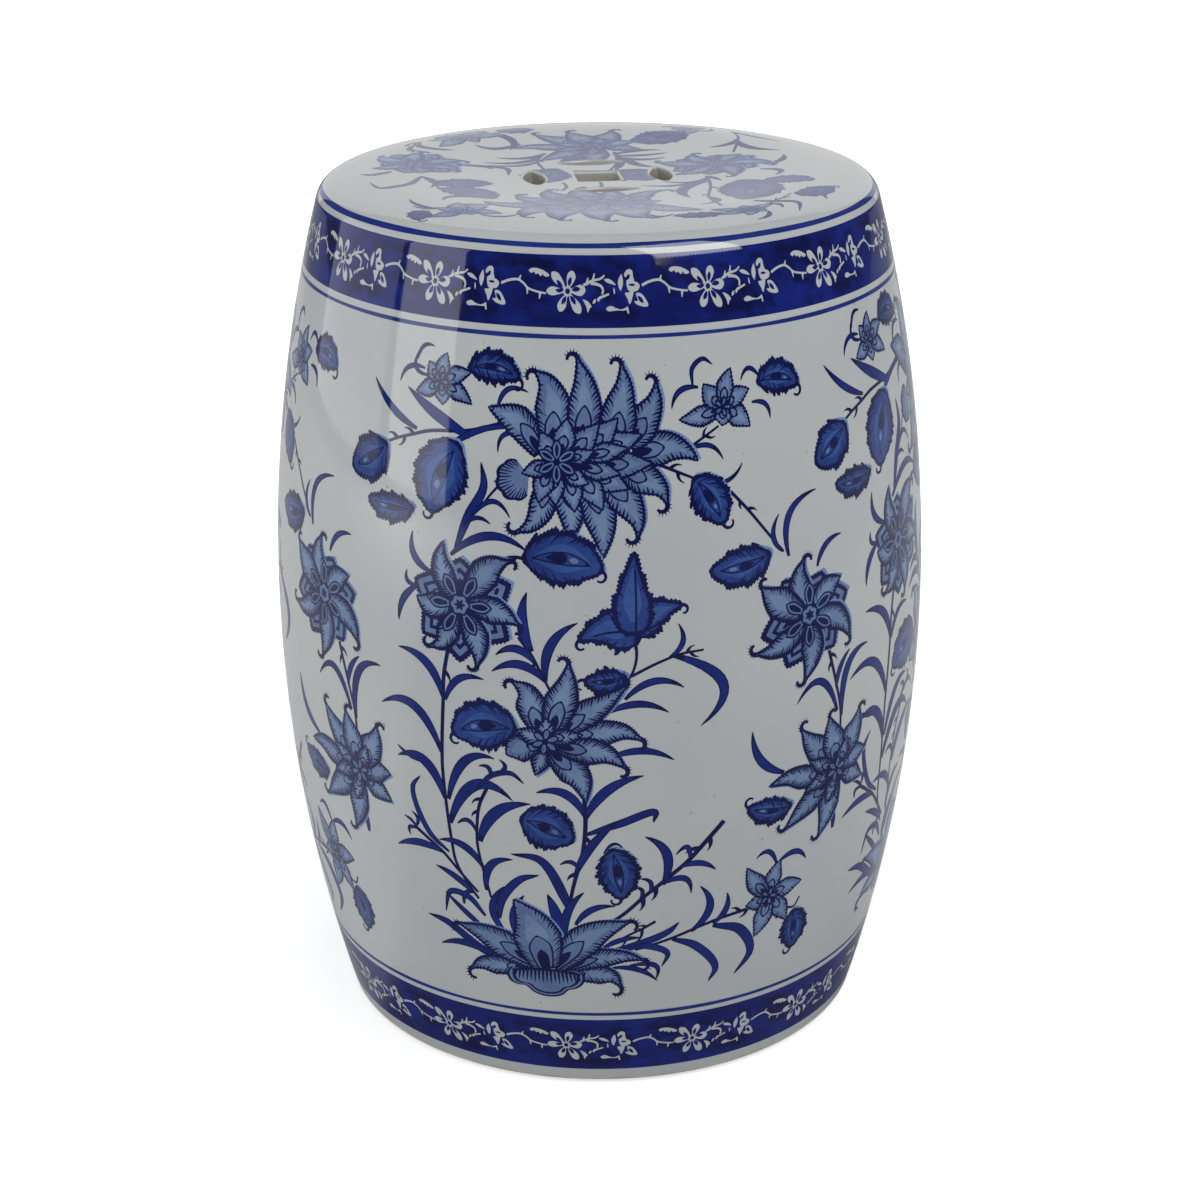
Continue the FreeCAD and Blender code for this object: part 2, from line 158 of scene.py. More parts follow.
def circlesMeet(centre, radius, other, otherRadius):
    gap = math.dist(centre, other)
    along = (gap ** 2 + radius ** 2 - otherRadius ** 2) / (2 * gap)
    a = angleTo(centre, other) + math.acos(along / radius) * (1 if other[0] < centre[0] else -1)
    b = 2 * angleTo(centre, other) - a
    return max(pointAt(centre, radius, a), pointAt(centre, radius, b), key=lambda point: point[1])


seat = {
    "dish": 4.0,
    "crest": 110.0,
    "browRadius": 150.0,
    "shoulderRadius": 13.0,
    "cornerRadius": 8.0,
    "thickness": 11.0,
    "square": 22.0,
    "lensLength": 36.0,
    "lensWidth": 11.0,
    "lensOffset": 33.0,
    "holeCorner": 1.4,
    "holeEdge": 1.2,
    "holeStep": 2.5,
    "middleRadius": 60.0,
    "grid": 4.0,
    # on the texture: the turned part's height, the plan's width in mm, the holes' first row and
    # the height of their rows
    "turnedV": 0.12,
    "planWidth": 800.0,
    "holeV": 0.86,
    "holeRowV": 0.015,
}
middleZ = drum["height"] - seat["dish"]
underZ = middleZ - seat["thickness"]
dishRadius = (seat["crest"] ** 2 + seat["dish"] ** 2) / (2 * seat["dish"]) - seat["browRadius"]
dishCentre = (0.0, middleZ + dishRadius)
browCentre = (seat["crest"], drum["height"] - seat["browRadius"])
shoulderCentre = circlesMeet(browCentre, seat["browRadius"] - seat["shoulderRadius"],
                             flankCentre, outerRadius - seat["shoulderRadius"])
dishEnd = towards(dishCentre, browCentre, dishRadius)
browEnd = towards(browCentre, shoulderCentre, seat["browRadius"])
shoulderEnd = towards(flankCentre, shoulderCentre, outerRadius)


def seatOutside(fromRadius):
    # Skirt, shoulder, brow and dish, from the joint up and in to a radius
    shoulder = arcStretch(shoulderCentre, seat["shoulderRadius"],
                          angleTo(shoulderCentre, shoulderEnd),
                          angleTo(shoulderCentre, browEnd), 0.7)
    brow = arcStretch(browCentre, seat["browRadius"], angleTo(browCentre, browEnd),
                      angleTo(browCentre, dishEnd), 2.5)
    rim = angleTo(dishCentre, dishEnd)
    inner = -math.acos(fromRadius / dishRadius) if fromRadius else -math.pi / 2
    dish = arcStretch(dishCentre, dishRadius, rim, inner, 4.0, -1)
    return [outside(drum["skirtHeight"], shoulderEnd[1]), shoulder, brow, dish]


# The whole outside from the foot to the axis, close enough to be read between its points
outline = np.vstack([outside(drum["footLow"], drum["skirtHeight"])] + seatOutside(0))
crestRow = int(np.argmax(outline[:, 1]))
risingPart = outline[:crestRow + 1]
topPart = outline[outline[:, 1] > shoulderCentre[1]][::-1]


def spin(degrees, radius, height, outR, outZ):
    # From radius and height to a point and its normal
    a = np.radians(degrees)
    c, s = np.cos(a), np.sin(a)
    points = np.stack([radius * c, radius * s, height], axis=1)
    normals = np.stack([outR * c, outR * s, outZ], axis=1)
    return points, normals / lengths(normals)[:, None]


def wrapDrum(flat, lift):
    # A drawing's points (mm round the belly, height) laid on the drum's side
    u, v = flat[:, 0], flat[:, 1]
    r, outR, outZ = (np.interp(v, risingPart[:, 1], risingPart[:, k]) for k in (0, 2, 3))
    points, normals = spin(frontDegrees + u / mmPerDegree, r, v, outR, outZ)
    return points + normals * lift, normals


print("outlines ready")


# Meshes

def addObject(name, data):
    item = bpy.data.objects.new(name, data)
    bpy.context.scene.collection.objects.link(item)
    return item


def makeMesh(name, points, faces, slots, uvs, materials):
    # Points in millimetres, and a place on the texture for every corner of every face
    mesh = bpy.data.meshes.new(name)
    mesh.from_pydata((np.array(points) * mm).tolist(), [], faces)
    for material in materials:
        mesh.materials.append(material)
    mesh.polygons.foreach_set("material_index", slots)
    mesh.shade_smooth()
    layer = mesh.uv_layers.new(name="OFBake")
    layer.data.foreach_set("uv", np.array(uvs, np.float32).ravel())
    return mesh


class MeshDraft:
    # Points, faces, a normal and a place on the texture for every corner of every face

    def __init__(self):
        self.points = []
        self.faces = []
        self.normals = []
        self.uvs = []
        self.slots = []

    def addPoints(self, points):
        first = len(self.points)
        self.points.extend(map(tuple, points))
        return first

    def addFace(self, corners, normals, uvs, slot=0):
        self.faces.append(corners)
        self.normals.extend(normals)
        self.uvs.extend(uvs)
        self.slots.append(slot)

    def build(self, name, materials, node):
        # The finished piece, which replaces this node of the CAD model
        mesh = makeMesh(name, self.points, self.faces, self.slots, self.uvs, materials)
        mesh.normals_split_custom_set(np.array(self.normals, np.float32).tolist())
        finishPiece(addObject(name, mesh), node)


def runOf(line):
    # How far along a line each of its points lies
    return np.concatenate([[0], np.cumsum(lengths(np.diff(line, axis=0)))])


def addTurned(draft, stretches, slots, window=(0, 0, 1, 1), closed=True):
    # A section turned about the stool's axis. Neighbouring stretches share their end point
    facets = drum["facets"]
    rows, ends = [], []
    for stretch, slot in zip(stretches, slots):
        for a, b in zip(stretch[:-1], stretch[1:]):
            rows.append(a[:2])
            ends.append((a[2:], b[2:], slot))
    if not closed:
        rows.append(stretches[-1][-1][:2])
    rows = np.array(rows)
    count = len(rows)
    run = runOf(np.vstack([rows, rows[:1]]) if closed else rows)
    run /= run[-1]
    turn = np.arange(facets) * 2 * math.pi / facets
    c, s = np.cos(turn), np.sin(turn)
    u0, v0, wide, high = window
    first = len(draft.points)
    for r, z in rows:
        draft.addPoints(np.stack([r * c, r * s, np.full(facets, z)], axis=1))
    cs = list(zip(c.tolist(), s.tolist()))
    for k, (low, top, slot) in enumerate(ends):
        near = first + k * facets
        far = first + ((k + 1) % count) * facets
        va, vb = v0 + run[k] * high, v0 + run[k + 1] * high
        for j in range(facets):
            i = (j + 1) % facets
            ca, sa = cs[j]
            cb, sb = cs[i]
            ua, ub = u0 + j / facets * wide, u0 + (j + 1) / facets * wide
            draft.addFace((near + j, near + i, far + i, far + j),
                          ((low[0] * ca, low[0] * sa, low[1]), (low[0] * cb, low[0] * sb, low[1]),
                           (top[0] * cb, top[0] * sb, top[1]), (top[0] * ca, top[0] * sa, top[1])),
                          ((ua, va), (ub, va), (ub, vb), (ua, vb)), slot)


def insideOf(points, loop):
    # Which points lie inside a closed loop, counted by its turns round each of them
    x, y = points[:, 0], points[:, 1]
    turns = np.zeros(len(points), int)
    for (x0, y0), (x1, y1) in zip(loop, np.roll(loop, -1, axis=0)):
        side = (x1 - x0) * (y - y0) - (x - x0) * (y1 - y0)
        turns += (y0 <= y) & (y1 > y) & (side > 0)
        turns -= (y0 > y) & (y1 <= y) & (side < 0)
    return turns != 0


def splitLoop(loop, longest):
    # The same closed loop with no side longer than this
    points = []
    for a, b in zip(loop, np.roll(loop, -1, axis=0)):
        count = max(1, math.ceil(math.dist(a, b) / longest))
        points.extend(a + (b - a) * i / count for i in range(count))
    return points


def triangulate(loops, extra, longest):
    # All loops cut against each other, and triangles that respect every side of them
    points, sides = [], []
    for loop in loops:
        first = len(points)
        points.extend(splitLoop(np.asarray(loop), longest))
        count = len(points) - first
        sides.extend((first + i, first + (i + 1) % count) for i in range(count))
    points.extend(extra)
    corners, _, faces, *_ = delaunay_2d_cdt([Vector(p) for p in points], sides, [], 0, 1e-5, False)
    return np.array(corners), np.array([face for face in faces if len(face) == 3])


def gridPoints(low, high, step, rise=0.87):
    xs = np.arange(low[0] + step / 2, high[0], step)
    ys = np.arange(low[1] + step * rise / 2, high[1], step * rise)
    return [(x + (i % 2) * step / 2, y) for i, y in enumerate(ys) for x in xs]


def topPaint(shapes, middles):
    # The name of the last shape laid on each point, or nothing
    order = np.argsort(middles[:, 0])
    sortedX = middles[order, 0]
    found = np.full(len(middles), -1)
    names = []
    for paint, loop in shapes:
        if paint not in names:
            names.append(paint)
        low, high = loop.min(axis=0), loop.max(axis=0)
        first, last = np.searchsorted(sortedX, (low[0], high[0]))
        near = order[first:last]
        near = near[(middles[near, 1] >= low[1]) & (middles[near, 1] <= high[1])]
        if len(near):
            found[near[insideOf(middles[near], loop)]] = names.index(paint)
    return found, names


def colourBorders(triangles, found):
    # The sides at which the paint changes
    sides = np.sort(triangles[:, [0, 1, 1, 2, 2, 0]].reshape(-1, 2), axis=1)
    unique, index = np.unique(sides, axis=0, return_inverse=True)
    paint = np.repeat(found, 3)
    least = np.full(len(unique), len(found))
    most = np.full(len(unique), -2)
    np.minimum.at(least, index.ravel(), paint)
    np.maximum.at(most, index.ravel(), paint)
    return unique[least != most]


def cutDrawing(shapes, low, high, longest, extra=()):
    # Triangles of a flat drawing, sorted by paint. The first cut finds where the paint
    # changes, the second keeps only those borders and drops what lies hidden
    loops = [loop for _, loop in shapes]
    (x0, y0), (x1, y1) = low, high
    # Four points far outside, so that the drawing's own outer sides count as borders too
    beyond = 50
    around = [(x, y) for x in (x0 - beyond, x1 + beyond) for y in (y0 - beyond, y1 + beyond)]
    grid = gridPoints(low, high, longest)
    corners, triangles = triangulate(loops, grid + around, longest)
    found, names = topPaint(shapes, corners[triangles].mean(axis=1))
    borders = colourBorders(triangles, found)
    used, index = np.unique(borders, return_inverse=True)
    points = [Vector(p) for p in corners[used]] + [Vector(p) for p in (extra or grid)]
    cut = delaunay_2d_cdt(points, index.reshape(-1, 2).tolist(), [], 0, 1e-6, False)
    corners, triangles = np.array(cut[0]), np.array(cut[2])
    found, names = topPaint(shapes, corners[triangles].mean(axis=1))
    flat = corners[triangles]
    along, across = flat[:, 1] - flat[:, 0], flat[:, 2] - flat[:, 0]
    whole = along[:, 0] * across[:, 1] - along[:, 1] * across[:, 0] > 1e-6
    return corners, {paint: triangles[(found == i) & whole] for i, paint in enumerate(names)}


def paintPiece(name, corners, groups, wrap, window):
    # One piece of painting: groups pairs each paint's triangles with its material
    used = np.unique(np.concatenate([triangles.ravel() for triangles, _ in groups]))
    place = np.full(len(corners), -1)
    place[used] = np.arange(len(used))
    flat = corners[used]
    points, normals = wrap(flat)
    low, high = np.array(window[0]), np.array(window[1])
    uvs = (flat - low) / (high - low)
    faces = np.vstack([place[triangles] for triangles, _ in groups])
    slots = np.concatenate([np.full(len(triangles), i) for i, (triangles, _) in enumerate(groups)])
    mesh = makeMesh(name, points, faces.tolist(), slots, uvs[faces.ravel()],
                    [material for _, material in groups])
    mesh.normals_split_custom_set_from_vertices(normals.tolist())
    piece = addObject(name, mesh)
    finishPiece(piece)
    return piece


# Brush strokes. Everything is drawn flat, in millimetres, and wrapped round the drum later

def smoothLine(points, steps=7):
    # A smooth line through given points: two make it straight, three one even
    # bow, and more are joined with a bend that suits the distances between them
    given = np.array(points, float)
    gaps = lengths(np.diff(given, axis=0))
    if len(given) == 2:
        share = np.linspace(0, 1, steps + 1)[:, None]
        return given[0] + (given[1] - given[0]) * share
    if len(given) == 3:
        middle = min(max(gaps[0] / gaps.sum(), 0.25), 0.75)
        first, last = (1 - middle) ** 2, middle ** 2
        pull = (given[1] - first * given[0] - last * given[2]) / (2 * middle * (1 - middle))
        share = np.linspace(0, 1, 2 * steps + 1)[:, None]
        sides = given[0] * (1 - share) ** 2 + given[2] * share ** 2
        return sides + pull * 2 * share * (1 - share)
    knots = np.concatenate([[0], np.cumsum(gaps ** 0.6)])
    slopes = np.gradient(given, knots, axis=0)
    line = []
    for i, span in enumerate(np.diff(knots)):
        t = np.linspace(0, 1, steps, endpoint=False)[:, None]
        ends = given[i] * (1 + 2 * t) * (1 - t) ** 2 + given[i + 1] * t ** 2 * (3 - 2 * t)
        bends = slopes[i] * t * (1 - t) ** 2 - slopes[i + 1] * t ** 2 * (1 - t)
        line.append(ends + bends * span)
    return np.vstack(line + [given[-1:]])


def evenLine(points, step):
    # The smooth line through these points, divided evenly
    line = smoothLine(points)
    run = runOf(line)
    spots = np.linspace(0, run[-1], max(9, int(run[-1] / step)))
    return np.stack([np.interp(spots, run, line[:, k]) for k in (0, 1)], axis=1)


def bowedLine(start, end, bow, count):
    # From start to end, bowed to the left by a share of its length
    start, end = np.array(start, float), np.array(end, float)
    along = end - start
    aside = np.array([-along[1], along[0]])
    share = np.linspace(0, 1, count)[:, None]
    return start + along * share + aside * (4 * bow * share * (1 - share))


def leftOf(line):
    along = np.gradient(line, axis=0)
    along /= np.maximum(lengths(along), 1e-9)[:, None]
    return np.stack([-along[:, 1], along[:, 0]], axis=1)


def ribbon(line, width):
    # The closed edge of a stroke with its own width at each point
    side = leftOf(line) * (np.asarray(width, float) / 2)[:, None]
    return np.vstack([line + side, (line - side)[::-1]])


def swelling(count, root, belly, tip, peak):
    # Width of a stroke that swells from its root and runs out to a tip
    t = np.linspace(0, 1, count)
    rise = root + (belly - root) * np.sin(np.clip(t / peak, 0, 1) * math.pi / 2)
    fall = np.cos(np.clip((t - peak) / (1 - peak), 0, 1) * math.pi / 2) ** 0.85
    return np.where(t < peak, rise, tip + (belly - tip) * fall)


def hookLine(line, size, side, turn):
    # The curl that a petal or leaf ends in: side 1 curls left, -1 curls right
    along = line[-1] - line[-2]
    heading = math.atan2(along[1], along[0])
    steps = max(4, int(turn / 22))
    points = [line[-1]]
    for i in range(steps):
        heading += side * math.radians(turn) / steps
        step = size * math.radians(turn) / steps * (1 - 0.35 * i / steps)
        points.append(points[-1] + step * np.array([math.cos(heading), math.sin(heading)]))
    return np.array(points)


class Design:
    # Shapes in the order in which they are laid: the last one on a spot is the one that shows

    def __init__(self):
        self.shapes = []
        self.at()

    def at(self, origin=(0, 0), degrees=0, size=1.0, unit=(1, 1)):
        # Where the next motif stands, how it is turned, and how large it is
        self.unit = np.array(unit, float)
        self.origin = np.array(origin, float)
        self.turn = rotation(math.radians(degrees)) * size
        self.size = size
        return self

    def place(self, point):
        return self.turn @ (np.array(point, float) * self.unit) + self.origin

    def line(self, points, steps=7):
        return smoothLine([self.place(point) for point in points], steps)

    def even(self, points, step=1.2):
        return evenLine([self.place(point) for point in points], step)

    def lay(self, paint, outline):
        self.shapes.append((paint, np.asarray(outline, float)))

    def stroke(self, line, widths, paint="line", shift=(0, 0)):
        self.lay(paint, ribbon(line, widths) + np.array(shift, float))


def edgeTeeth(design, line, outward, spacing, length, lean, root, bump):
    # Short strokes that run in from an edge and lean back towards its start
    run = runOf(line)
    count = int(run[-1] / spacing)

    def on(values, spot):
        return np.array([np.interp(spot, run, values[:, k]) for k in (0, 1)])

    for i in range(count):
        spot = (i + 0.6) * run[-1] / count
        point, out = on(line, spot), on(outward, spot)
        along = on(line, spot + 0.4) - on(line, spot - 0.4)
        along /= max(np.linalg.norm(along), 1e-9)
        uneven = 0.78 + 0.22 * math.sin(i * 2.4)
        reach = length * uneven * min(1.0, 0.35 + 1.6 * (count - i) / count)
        inward = -out * math.cos(lean) - along * math.sin(lean)
        side = along * root / 2
        bend = point + inward * reach * 0.5 + along * 0.3
        design.lay("line", [point - side, point + out * bump + along * 0.4, point + side,
                            bend + side * 0.6, point + inward * reach, bend - side * 0.85])


def teethBothSides(design, line, widths, shown, **sizes):
    # Strokes along both edges of a form, over the part of its line that shows them
    side = leftOf(line)
    for hand in (1, -1):
        edge = (line + side * hand * widths[:, None] / 2)[shown]
        edgeTeeth(design, edge, side[shown] * hand, **sizes)


def blade(design, points, width):
    # A grass blade from its tip back to its stem
    rim = 0.6
    line = design.line(points)[::-1]
    belly = width * design.size
    widths = swelling(len(line), belly * 0.42, belly, 0.5, 0.42)
    design.stroke(line, widths)
    inner = np.maximum(widths - 2 * rim, 0)
    shown = slice(1, int(np.count_nonzero(inner > 0.25)) - 1)
    if shown.stop - shown.start > 3:
        design.stroke(line[shown], inner[shown], "blade")


def stem(design, points, width, thorns=()):
    # thorns: place along the stem as a share, side, length
    line = design.line(points)
    design.stroke(line, np.linspace(width * 1.15, width * 0.85, len(line)))
    side = leftOf(line)
    for share, hand, length in thorns:
        i = min(int(share * (len(line) - 1)), len(line) - 2)
        along = line[i + 1] - line[i]
        along /= np.linalg.norm(along)
        out = side[i] * hand
        bent = line[i] + out * length * 0.55 + along * length * 0.35
        tip = line[i] + out * length * 0.75 + along * length
        spine = smoothLine([line[i], bent, tip], 4)
        design.stroke(spine, np.linspace(width * 1.5, 0.4, len(spine)))


def partOf(count, shares):
    return slice(int(count * shares[0]), int(count * shares[1]))


def formWidth(form, count):
    curve = smoothLine(form, 6)
    return np.interp(np.linspace(0, 1, count), curve[:, 0], curve[:, 1]).clip(0.02)


def petalWidths(count, belly, peak):
    # Broad from the root to the peak, then in to a long narrow tip
    root = 0.55
    t = np.linspace(0, 1, count)
    rise = root + (1 - root) * np.sin(np.clip(t / peak, 0, 1) * math.pi / 2)
    left = np.clip((t - peak) / (1 - peak), 0, 1)
    return belly * np.where(t < peak, rise, (1 - left ** 2) * (1 - 0.4 * left) + 0.06)


def lobe(design, line, widths, fill, rim, inset=1):
    # A filled outline: dark edge first, then the wash inside it
    design.stroke(line, widths)
    inner = np.maximum(widths - 2 * rim, 0.3)
    design.stroke(line[inset:-inset], inner[inset:-inset], fill)


def comb(design, line, width, size, side):
    # The curled end of a petal, with a row of spikes along its back
    curl = hookLine(line, size, side, 165)
    tail = np.vstack([line[-2:-1], curl])
    design.stroke(tail, np.linspace(max(width, 2.8), 1.5, len(tail)))
    back = -side * leftOf(curl)
    along = np.gradient(curl, axis=0)
    for i in range(len(curl) - 2):
        spike = curl[i] + back[i] * size * 0.85 + along[i] * 0.3
        design.lay("line", [curl[i] - along[i] * 0.45, spike, curl[i] + along[i] * 0.5])


def strayWash(design, petals, shift):
    # Wash that missed its outlines by a little, laid before any of a flower's petals
    for points, width, *_ in petals:
        line = design.even(points)
        widths = petalWidths(len(line), width * design.size, 0.4)
        design.stroke(line, widths, "halo", shift)


petalLook = {
    # shares of the petal's length and width; the rims and the least width are in mm
    "pale": (0.2, 0.8),
    "paleWidth": 0.5,
    "paleFrom": 8.5,
    "nestedWidths": (0.3, 0.5),
    "nestedRim": 1.05,
    "core": 0.66,
    "coreWidths": (0.16, 0.25),
}


def petal(design, points, width, peak=0.4, hook=0, hookSize=3.2, teeth=7.6, spacing=2.0,
          loop=0.5, rim=1.35):
    scale = design.size
    width = width * scale
    line = design.even(points)
    count = len(line)
    widths = petalWidths(count, width, peak)
    if hook:
        comb(design, line, widths[-1], hookSize * scale, hook)
    lobe(design, line, widths, "petal", rim)
    if width > petalLook["paleFrom"]:
        pale = partOf(count, petalLook["pale"])
        across = (widths[pale] - 2 * rim) * petalLook["paleWidth"]
        design.stroke(line[pale], across * np.sin(np.linspace(0.2, 2.9, len(across))), "pale")
    teethBothSides(design, line, widths, slice(1, -1), spacing=spacing * scale,
                   length=teeth * scale, lean=0.65, root=1.6, bump=0.55)
    if loop:
        nested = line[:max(6, int(count * loop))]
        root, belly = (width * share for share in petalLook["nestedWidths"])
        lobe(design, nested, swelling(len(nested), root, belly, 0.8, 0.6), "petal",
             petalLook["nestedRim"])
        core = line[:max(4, int(len(nested) * petalLook["core"]))]
        root, belly = (width * share for share in petalLook["coreWidths"])
        design.stroke(core, swelling(len(core), root, belly, 0.3, 0.6))


leafForm = [(0, 0.12), (0.1, 0.5), (0.28, 0.88), (0.48, 1), (0.7, 0.84), (0.88, 0.45), (1, 0.06)]
broadForm = [(0, 0.5), (0.16, 0.9), (0.34, 1), (0.55, 0.76), (0.78, 0.42), (1, 0.06)]
leafLook = {
    # in mm
    "step": 1.1,
    "depth": 1.1,
    "teeth": 8.5,
    "broadTeeth": 5.5,
    "spacing": 2.1,
    "edge": 3.4,
    "ribRim": 0.75,
    "stray": (1.1, 1.0),
    # shares of the leaf's length, then of its width
    "pale": (0.16, 0.84),
    "rib": (0.12, 0.86),
    "core": (0.3, 0.5),
    "eye": 0.68,
    "paleWidth": 0.62,
    "ribWidth": 0.26,
    "coreWidths": (0.22, 0.1),
    "eyeWidth": 0.11,
}


def leaf(design, base, tip, width, bow, lobes, hook, depth=leafLook["depth"], hookSize=3.0,
         broad=False):
    # The bud's broad leaves have a form of their own, with neither rib nor stray wash
    scale = design.size
    width, depth = width * scale, depth * scale
    start, end = design.place(base), design.place(tip)
    count = max(22, int(np.linalg.norm(end - start) / leafLook["step"]))
    line = bowedLine(start, end, bow, count)
    t = np.linspace(0, 1, count)
    plain = formWidth(broadForm if broad else leafForm, count) * width
    ripple = (t * lobes % 1) ** 1.5 * 4 * depth * np.sin(t * math.pi) ** 0.5
    widths = plain + ripple
    if not broad:
        design.stroke(line, plain, "halo", leafLook["stray"])
    if hook:
        curl = hookLine(line, hookSize * scale, hook, 190)
        ends = np.linspace(1.8, 1.0, len(curl))
        design.stroke(np.vstack([line[-2:-1], curl]), np.concatenate([[2.2], ends]))
    design.stroke(line, widths)
    inner = np.maximum(plain - leafLook["edge"], 0.2)
    design.stroke(line[2:-2], inner[2:-2], "leaf")
    pale = partOf(count, leafLook["pale"])
    across = inner[pale] * leafLook["paleWidth"]
    design.stroke(line[pale], across * np.sin(np.linspace(0.3, 2.8, len(across))), "paler")
    teeth = leafLook["broadTeeth" if broad else "teeth"]
    teethBothSides(design, line, widths, slice(2, -1), spacing=leafLook["spacing"] * scale,
                   length=teeth * scale, lean=0.75, root=2.2, bump=1.0)
    if not broad:
        rib = line[partOf(count, leafLook["rib"])]
        lens = swelling(len(rib), 0.8, width * leafLook["ribWidth"], 0.8, 0.55)
        lobe(design, rib, lens, "leaf", leafLook["ribRim"], 2)
        core = partOf(count, leafLook["core"])
        middle = core.stop + 2
        core = line[core.start:middle]
        belly, tip = (width * share for share in leafLook["coreWidths"])
        design.stroke(core, swelling(len(core), 0.6, belly, tip, 0.7))
        eye = line[middle:int(count * leafLook["eye"]) + 1]
        design.stroke(eye, swelling(len(eye), 0.8, width * leafLook["eyeWidth"], 0.6, 0.5), "petal")


def shell(design, base, angle, radius):
    # A rounded lobe with a scalloped edge and strokes that run in to its root
    root = design.place(base)
    heading = math.radians(angle)
    spread = np.linspace(-1.9, 1.9, 41)
    scallops = np.abs(np.sin((spread + 1.9) / 3.8 * math.pi * 5))
    reach = radius * design.size * (1 + np.cos(spread * 0.75)) * (0.94 + 0.06 * scallops)
    turn = heading + spread * 0.62
    fan = np.stack([np.cos(turn), np.sin(turn)], axis=1)
    for shrink, paint in ((1, "line"), (0.89, "petal")):
        design.lay(paint, np.vstack([root, root + fan * (reach * shrink)[:, None]]))
    for i in range(2, 39, 2):
        far = root + fan[i] * reach[i] * 0.97
        near = root + fan[i] * reach[i] * (0.62 if i % 4 else 0.5)
        design.stroke(smoothLine([far, near], 3), [0.95, 0.8, 0.6, 0.25])


def drop(design, centre, angle, start, length, width):
    # One drop-shaped lobe of a flower's heart, nested twice
    heading = np.array(pointAt((0, 0), 1, math.radians(angle)))
    for paint, rim in (("line", 0), ("petal", 0.95), ("line", 1.85)):
        line = np.array([centre + heading * (start + rim + (length - 2.2 * rim) * s)
                         for s in np.linspace(0, 1, 9)])
        widths = swelling(9, (width - 2 * rim) * 0.45, width - 2 * rim, 0.35, 0.6)
        design.stroke(line, widths, paint)


def disc(design, centre, radius, paint, lobes=0, depth=0.0, count=24, turn=0.0):
    a = np.linspace(0, 2 * math.pi, count, endpoint=False)
    r = radius * (1 + depth * np.cos(lobes * (a - math.radians(turn))))
    design.lay(paint, centre + np.stack([np.cos(a) * r, np.sin(a) * r], axis=1))


def heart(design, start, length, width, turn, lobes=6):
    # The small star in the middle of a flower
    scale = design.size
    middle = design.place((0, 0))
    start, length, width = start * scale, length * scale, width * scale
    for i in range(lobes):
        drop(design, middle, turn + i * 360 / lobes, start, length, width)
    if start > 1:
        rings = ((1.15, "line", 0.1), (0.92, "petal", 0.12), (0.5, "line", 0.3))
        for shrink, paint, depth in rings:
            disc(design, middle, start * shrink, paint, lobes, depth, 24, turn)
    else:
        disc(design, middle, width * 0.3, "line")


def onDrum(degrees, height):
    return degrees * mmPerDegree, height


# Flowers, each drawn round its own middle. A petal runs through its points from root to tip,
# with a width, the share of its length at which it is widest, and the side to which it curls

greatPetals = [
    ([(-8, 4), (-14, 12), (-20, 18), (-36.5, 24)], 14, 0.5, 0),
    ([(38, 3.5), (48, 5.5), (58, 6), (66, 3), (71.5, -1.5)], 15, 0.35, 0),
    ([(4, -7), (6.5, -17), (7.5, -27), (6.5, -40)], 14, 0.35, 0),
    ([(-3, -7), (-6, -16), (-8, -24), (-13, -31), (-20.5, -35)], 12, 0.4, -1),
    ([(11, -8), (18, -16), (21.5, -26), (23, -36), (22.5, -47)], 15, 0.45, 0),
    ([(-3, 5), (-2, 15), (-2.5, 28), (-6, 37), (-12, 42)], 17, 0.5, 1),
    ([(23, -8), (31, -14), (36, -20.5), (40, -29), (40, -36.5)], 15, 0.35, -1),
    ([(33, -2), (40, -6.5), (47, -10), (52, -14), (55, -21)], 14, 0.35, -1),
    ([(35, 8), (40, 14), (45, 20.5), (49.5, 28), (51, 37)], 16, 0.3, 1),
    ([(26, 5), (30, 15), (32, 26), (34, 36), (33, 46)], 17, 0.35, 1),
    ([(11, 6), (13, 16), (14, 27), (13.5, 37), (10, 49)], 16, 0.42, 1),
]
greatInner = [
    ([(22, -1), (36, -1), (48, -1)], 13, 0.4), ([(16, -5), (27, -9), (36, -13)], 13, 0.4),
    ([(20, 4), (32, 9), (43, 13)], 13, 0.4), ([(12, -7), (18, -14), (23, -23)], 12, 0.4),
    ([(14, 6), (23, 13), (31, 21)], 13, 0.4), ([(6, -7), (8, -15), (9, -24)], 11, 0.4),
    ([(-1, -5), (-1, -13), (0, -21)], 11, 0.4), ([(-4, -5), (-7, -12), (-9, -20)], 11, 0.4),
    ([(12, -1), (21, -3.5), (32, -5.5)], 11, 0.4), ([(15, 3), (25, 5), (36, 6.8)], 10, 0.4),
    ([(8, 4), (14, 10.5), (21.5, 18.7)], 12, 0.4), ([(2, 5), (4, 13), (5, 21)], 12, 0.4),
    ([(-4, 1), (-5, 7), (-9, 14)], 11, 0.4), ([(5, -4), (9, -7), (16.5, -10)], 9, 0.4),
    ([(6, 2), (12, 3), (19, 6)], 8, 0.4), ([(-4, -2), (-11, -4), (-18, -6.3)], 9, 0.4),
]


def greatFlower(design):
    shell(design, (-14, -7), 199, 9)
    strayWash(design, greatPetals, (1.3, 0.9))
    for points, width, peak, hook in greatPetals:
        petal(design, points, width * 1.1, peak, hook)
    disc(design, design.place((10, 0)), 17, "line")
    for points, width, peak in greatInner:
        petal(design, points, width, peak, teeth=3.6, spacing=1.8, loop=0.6, rim=1.1)
    heart(design, start=0.8, length=10, width=5.6, turn=90)


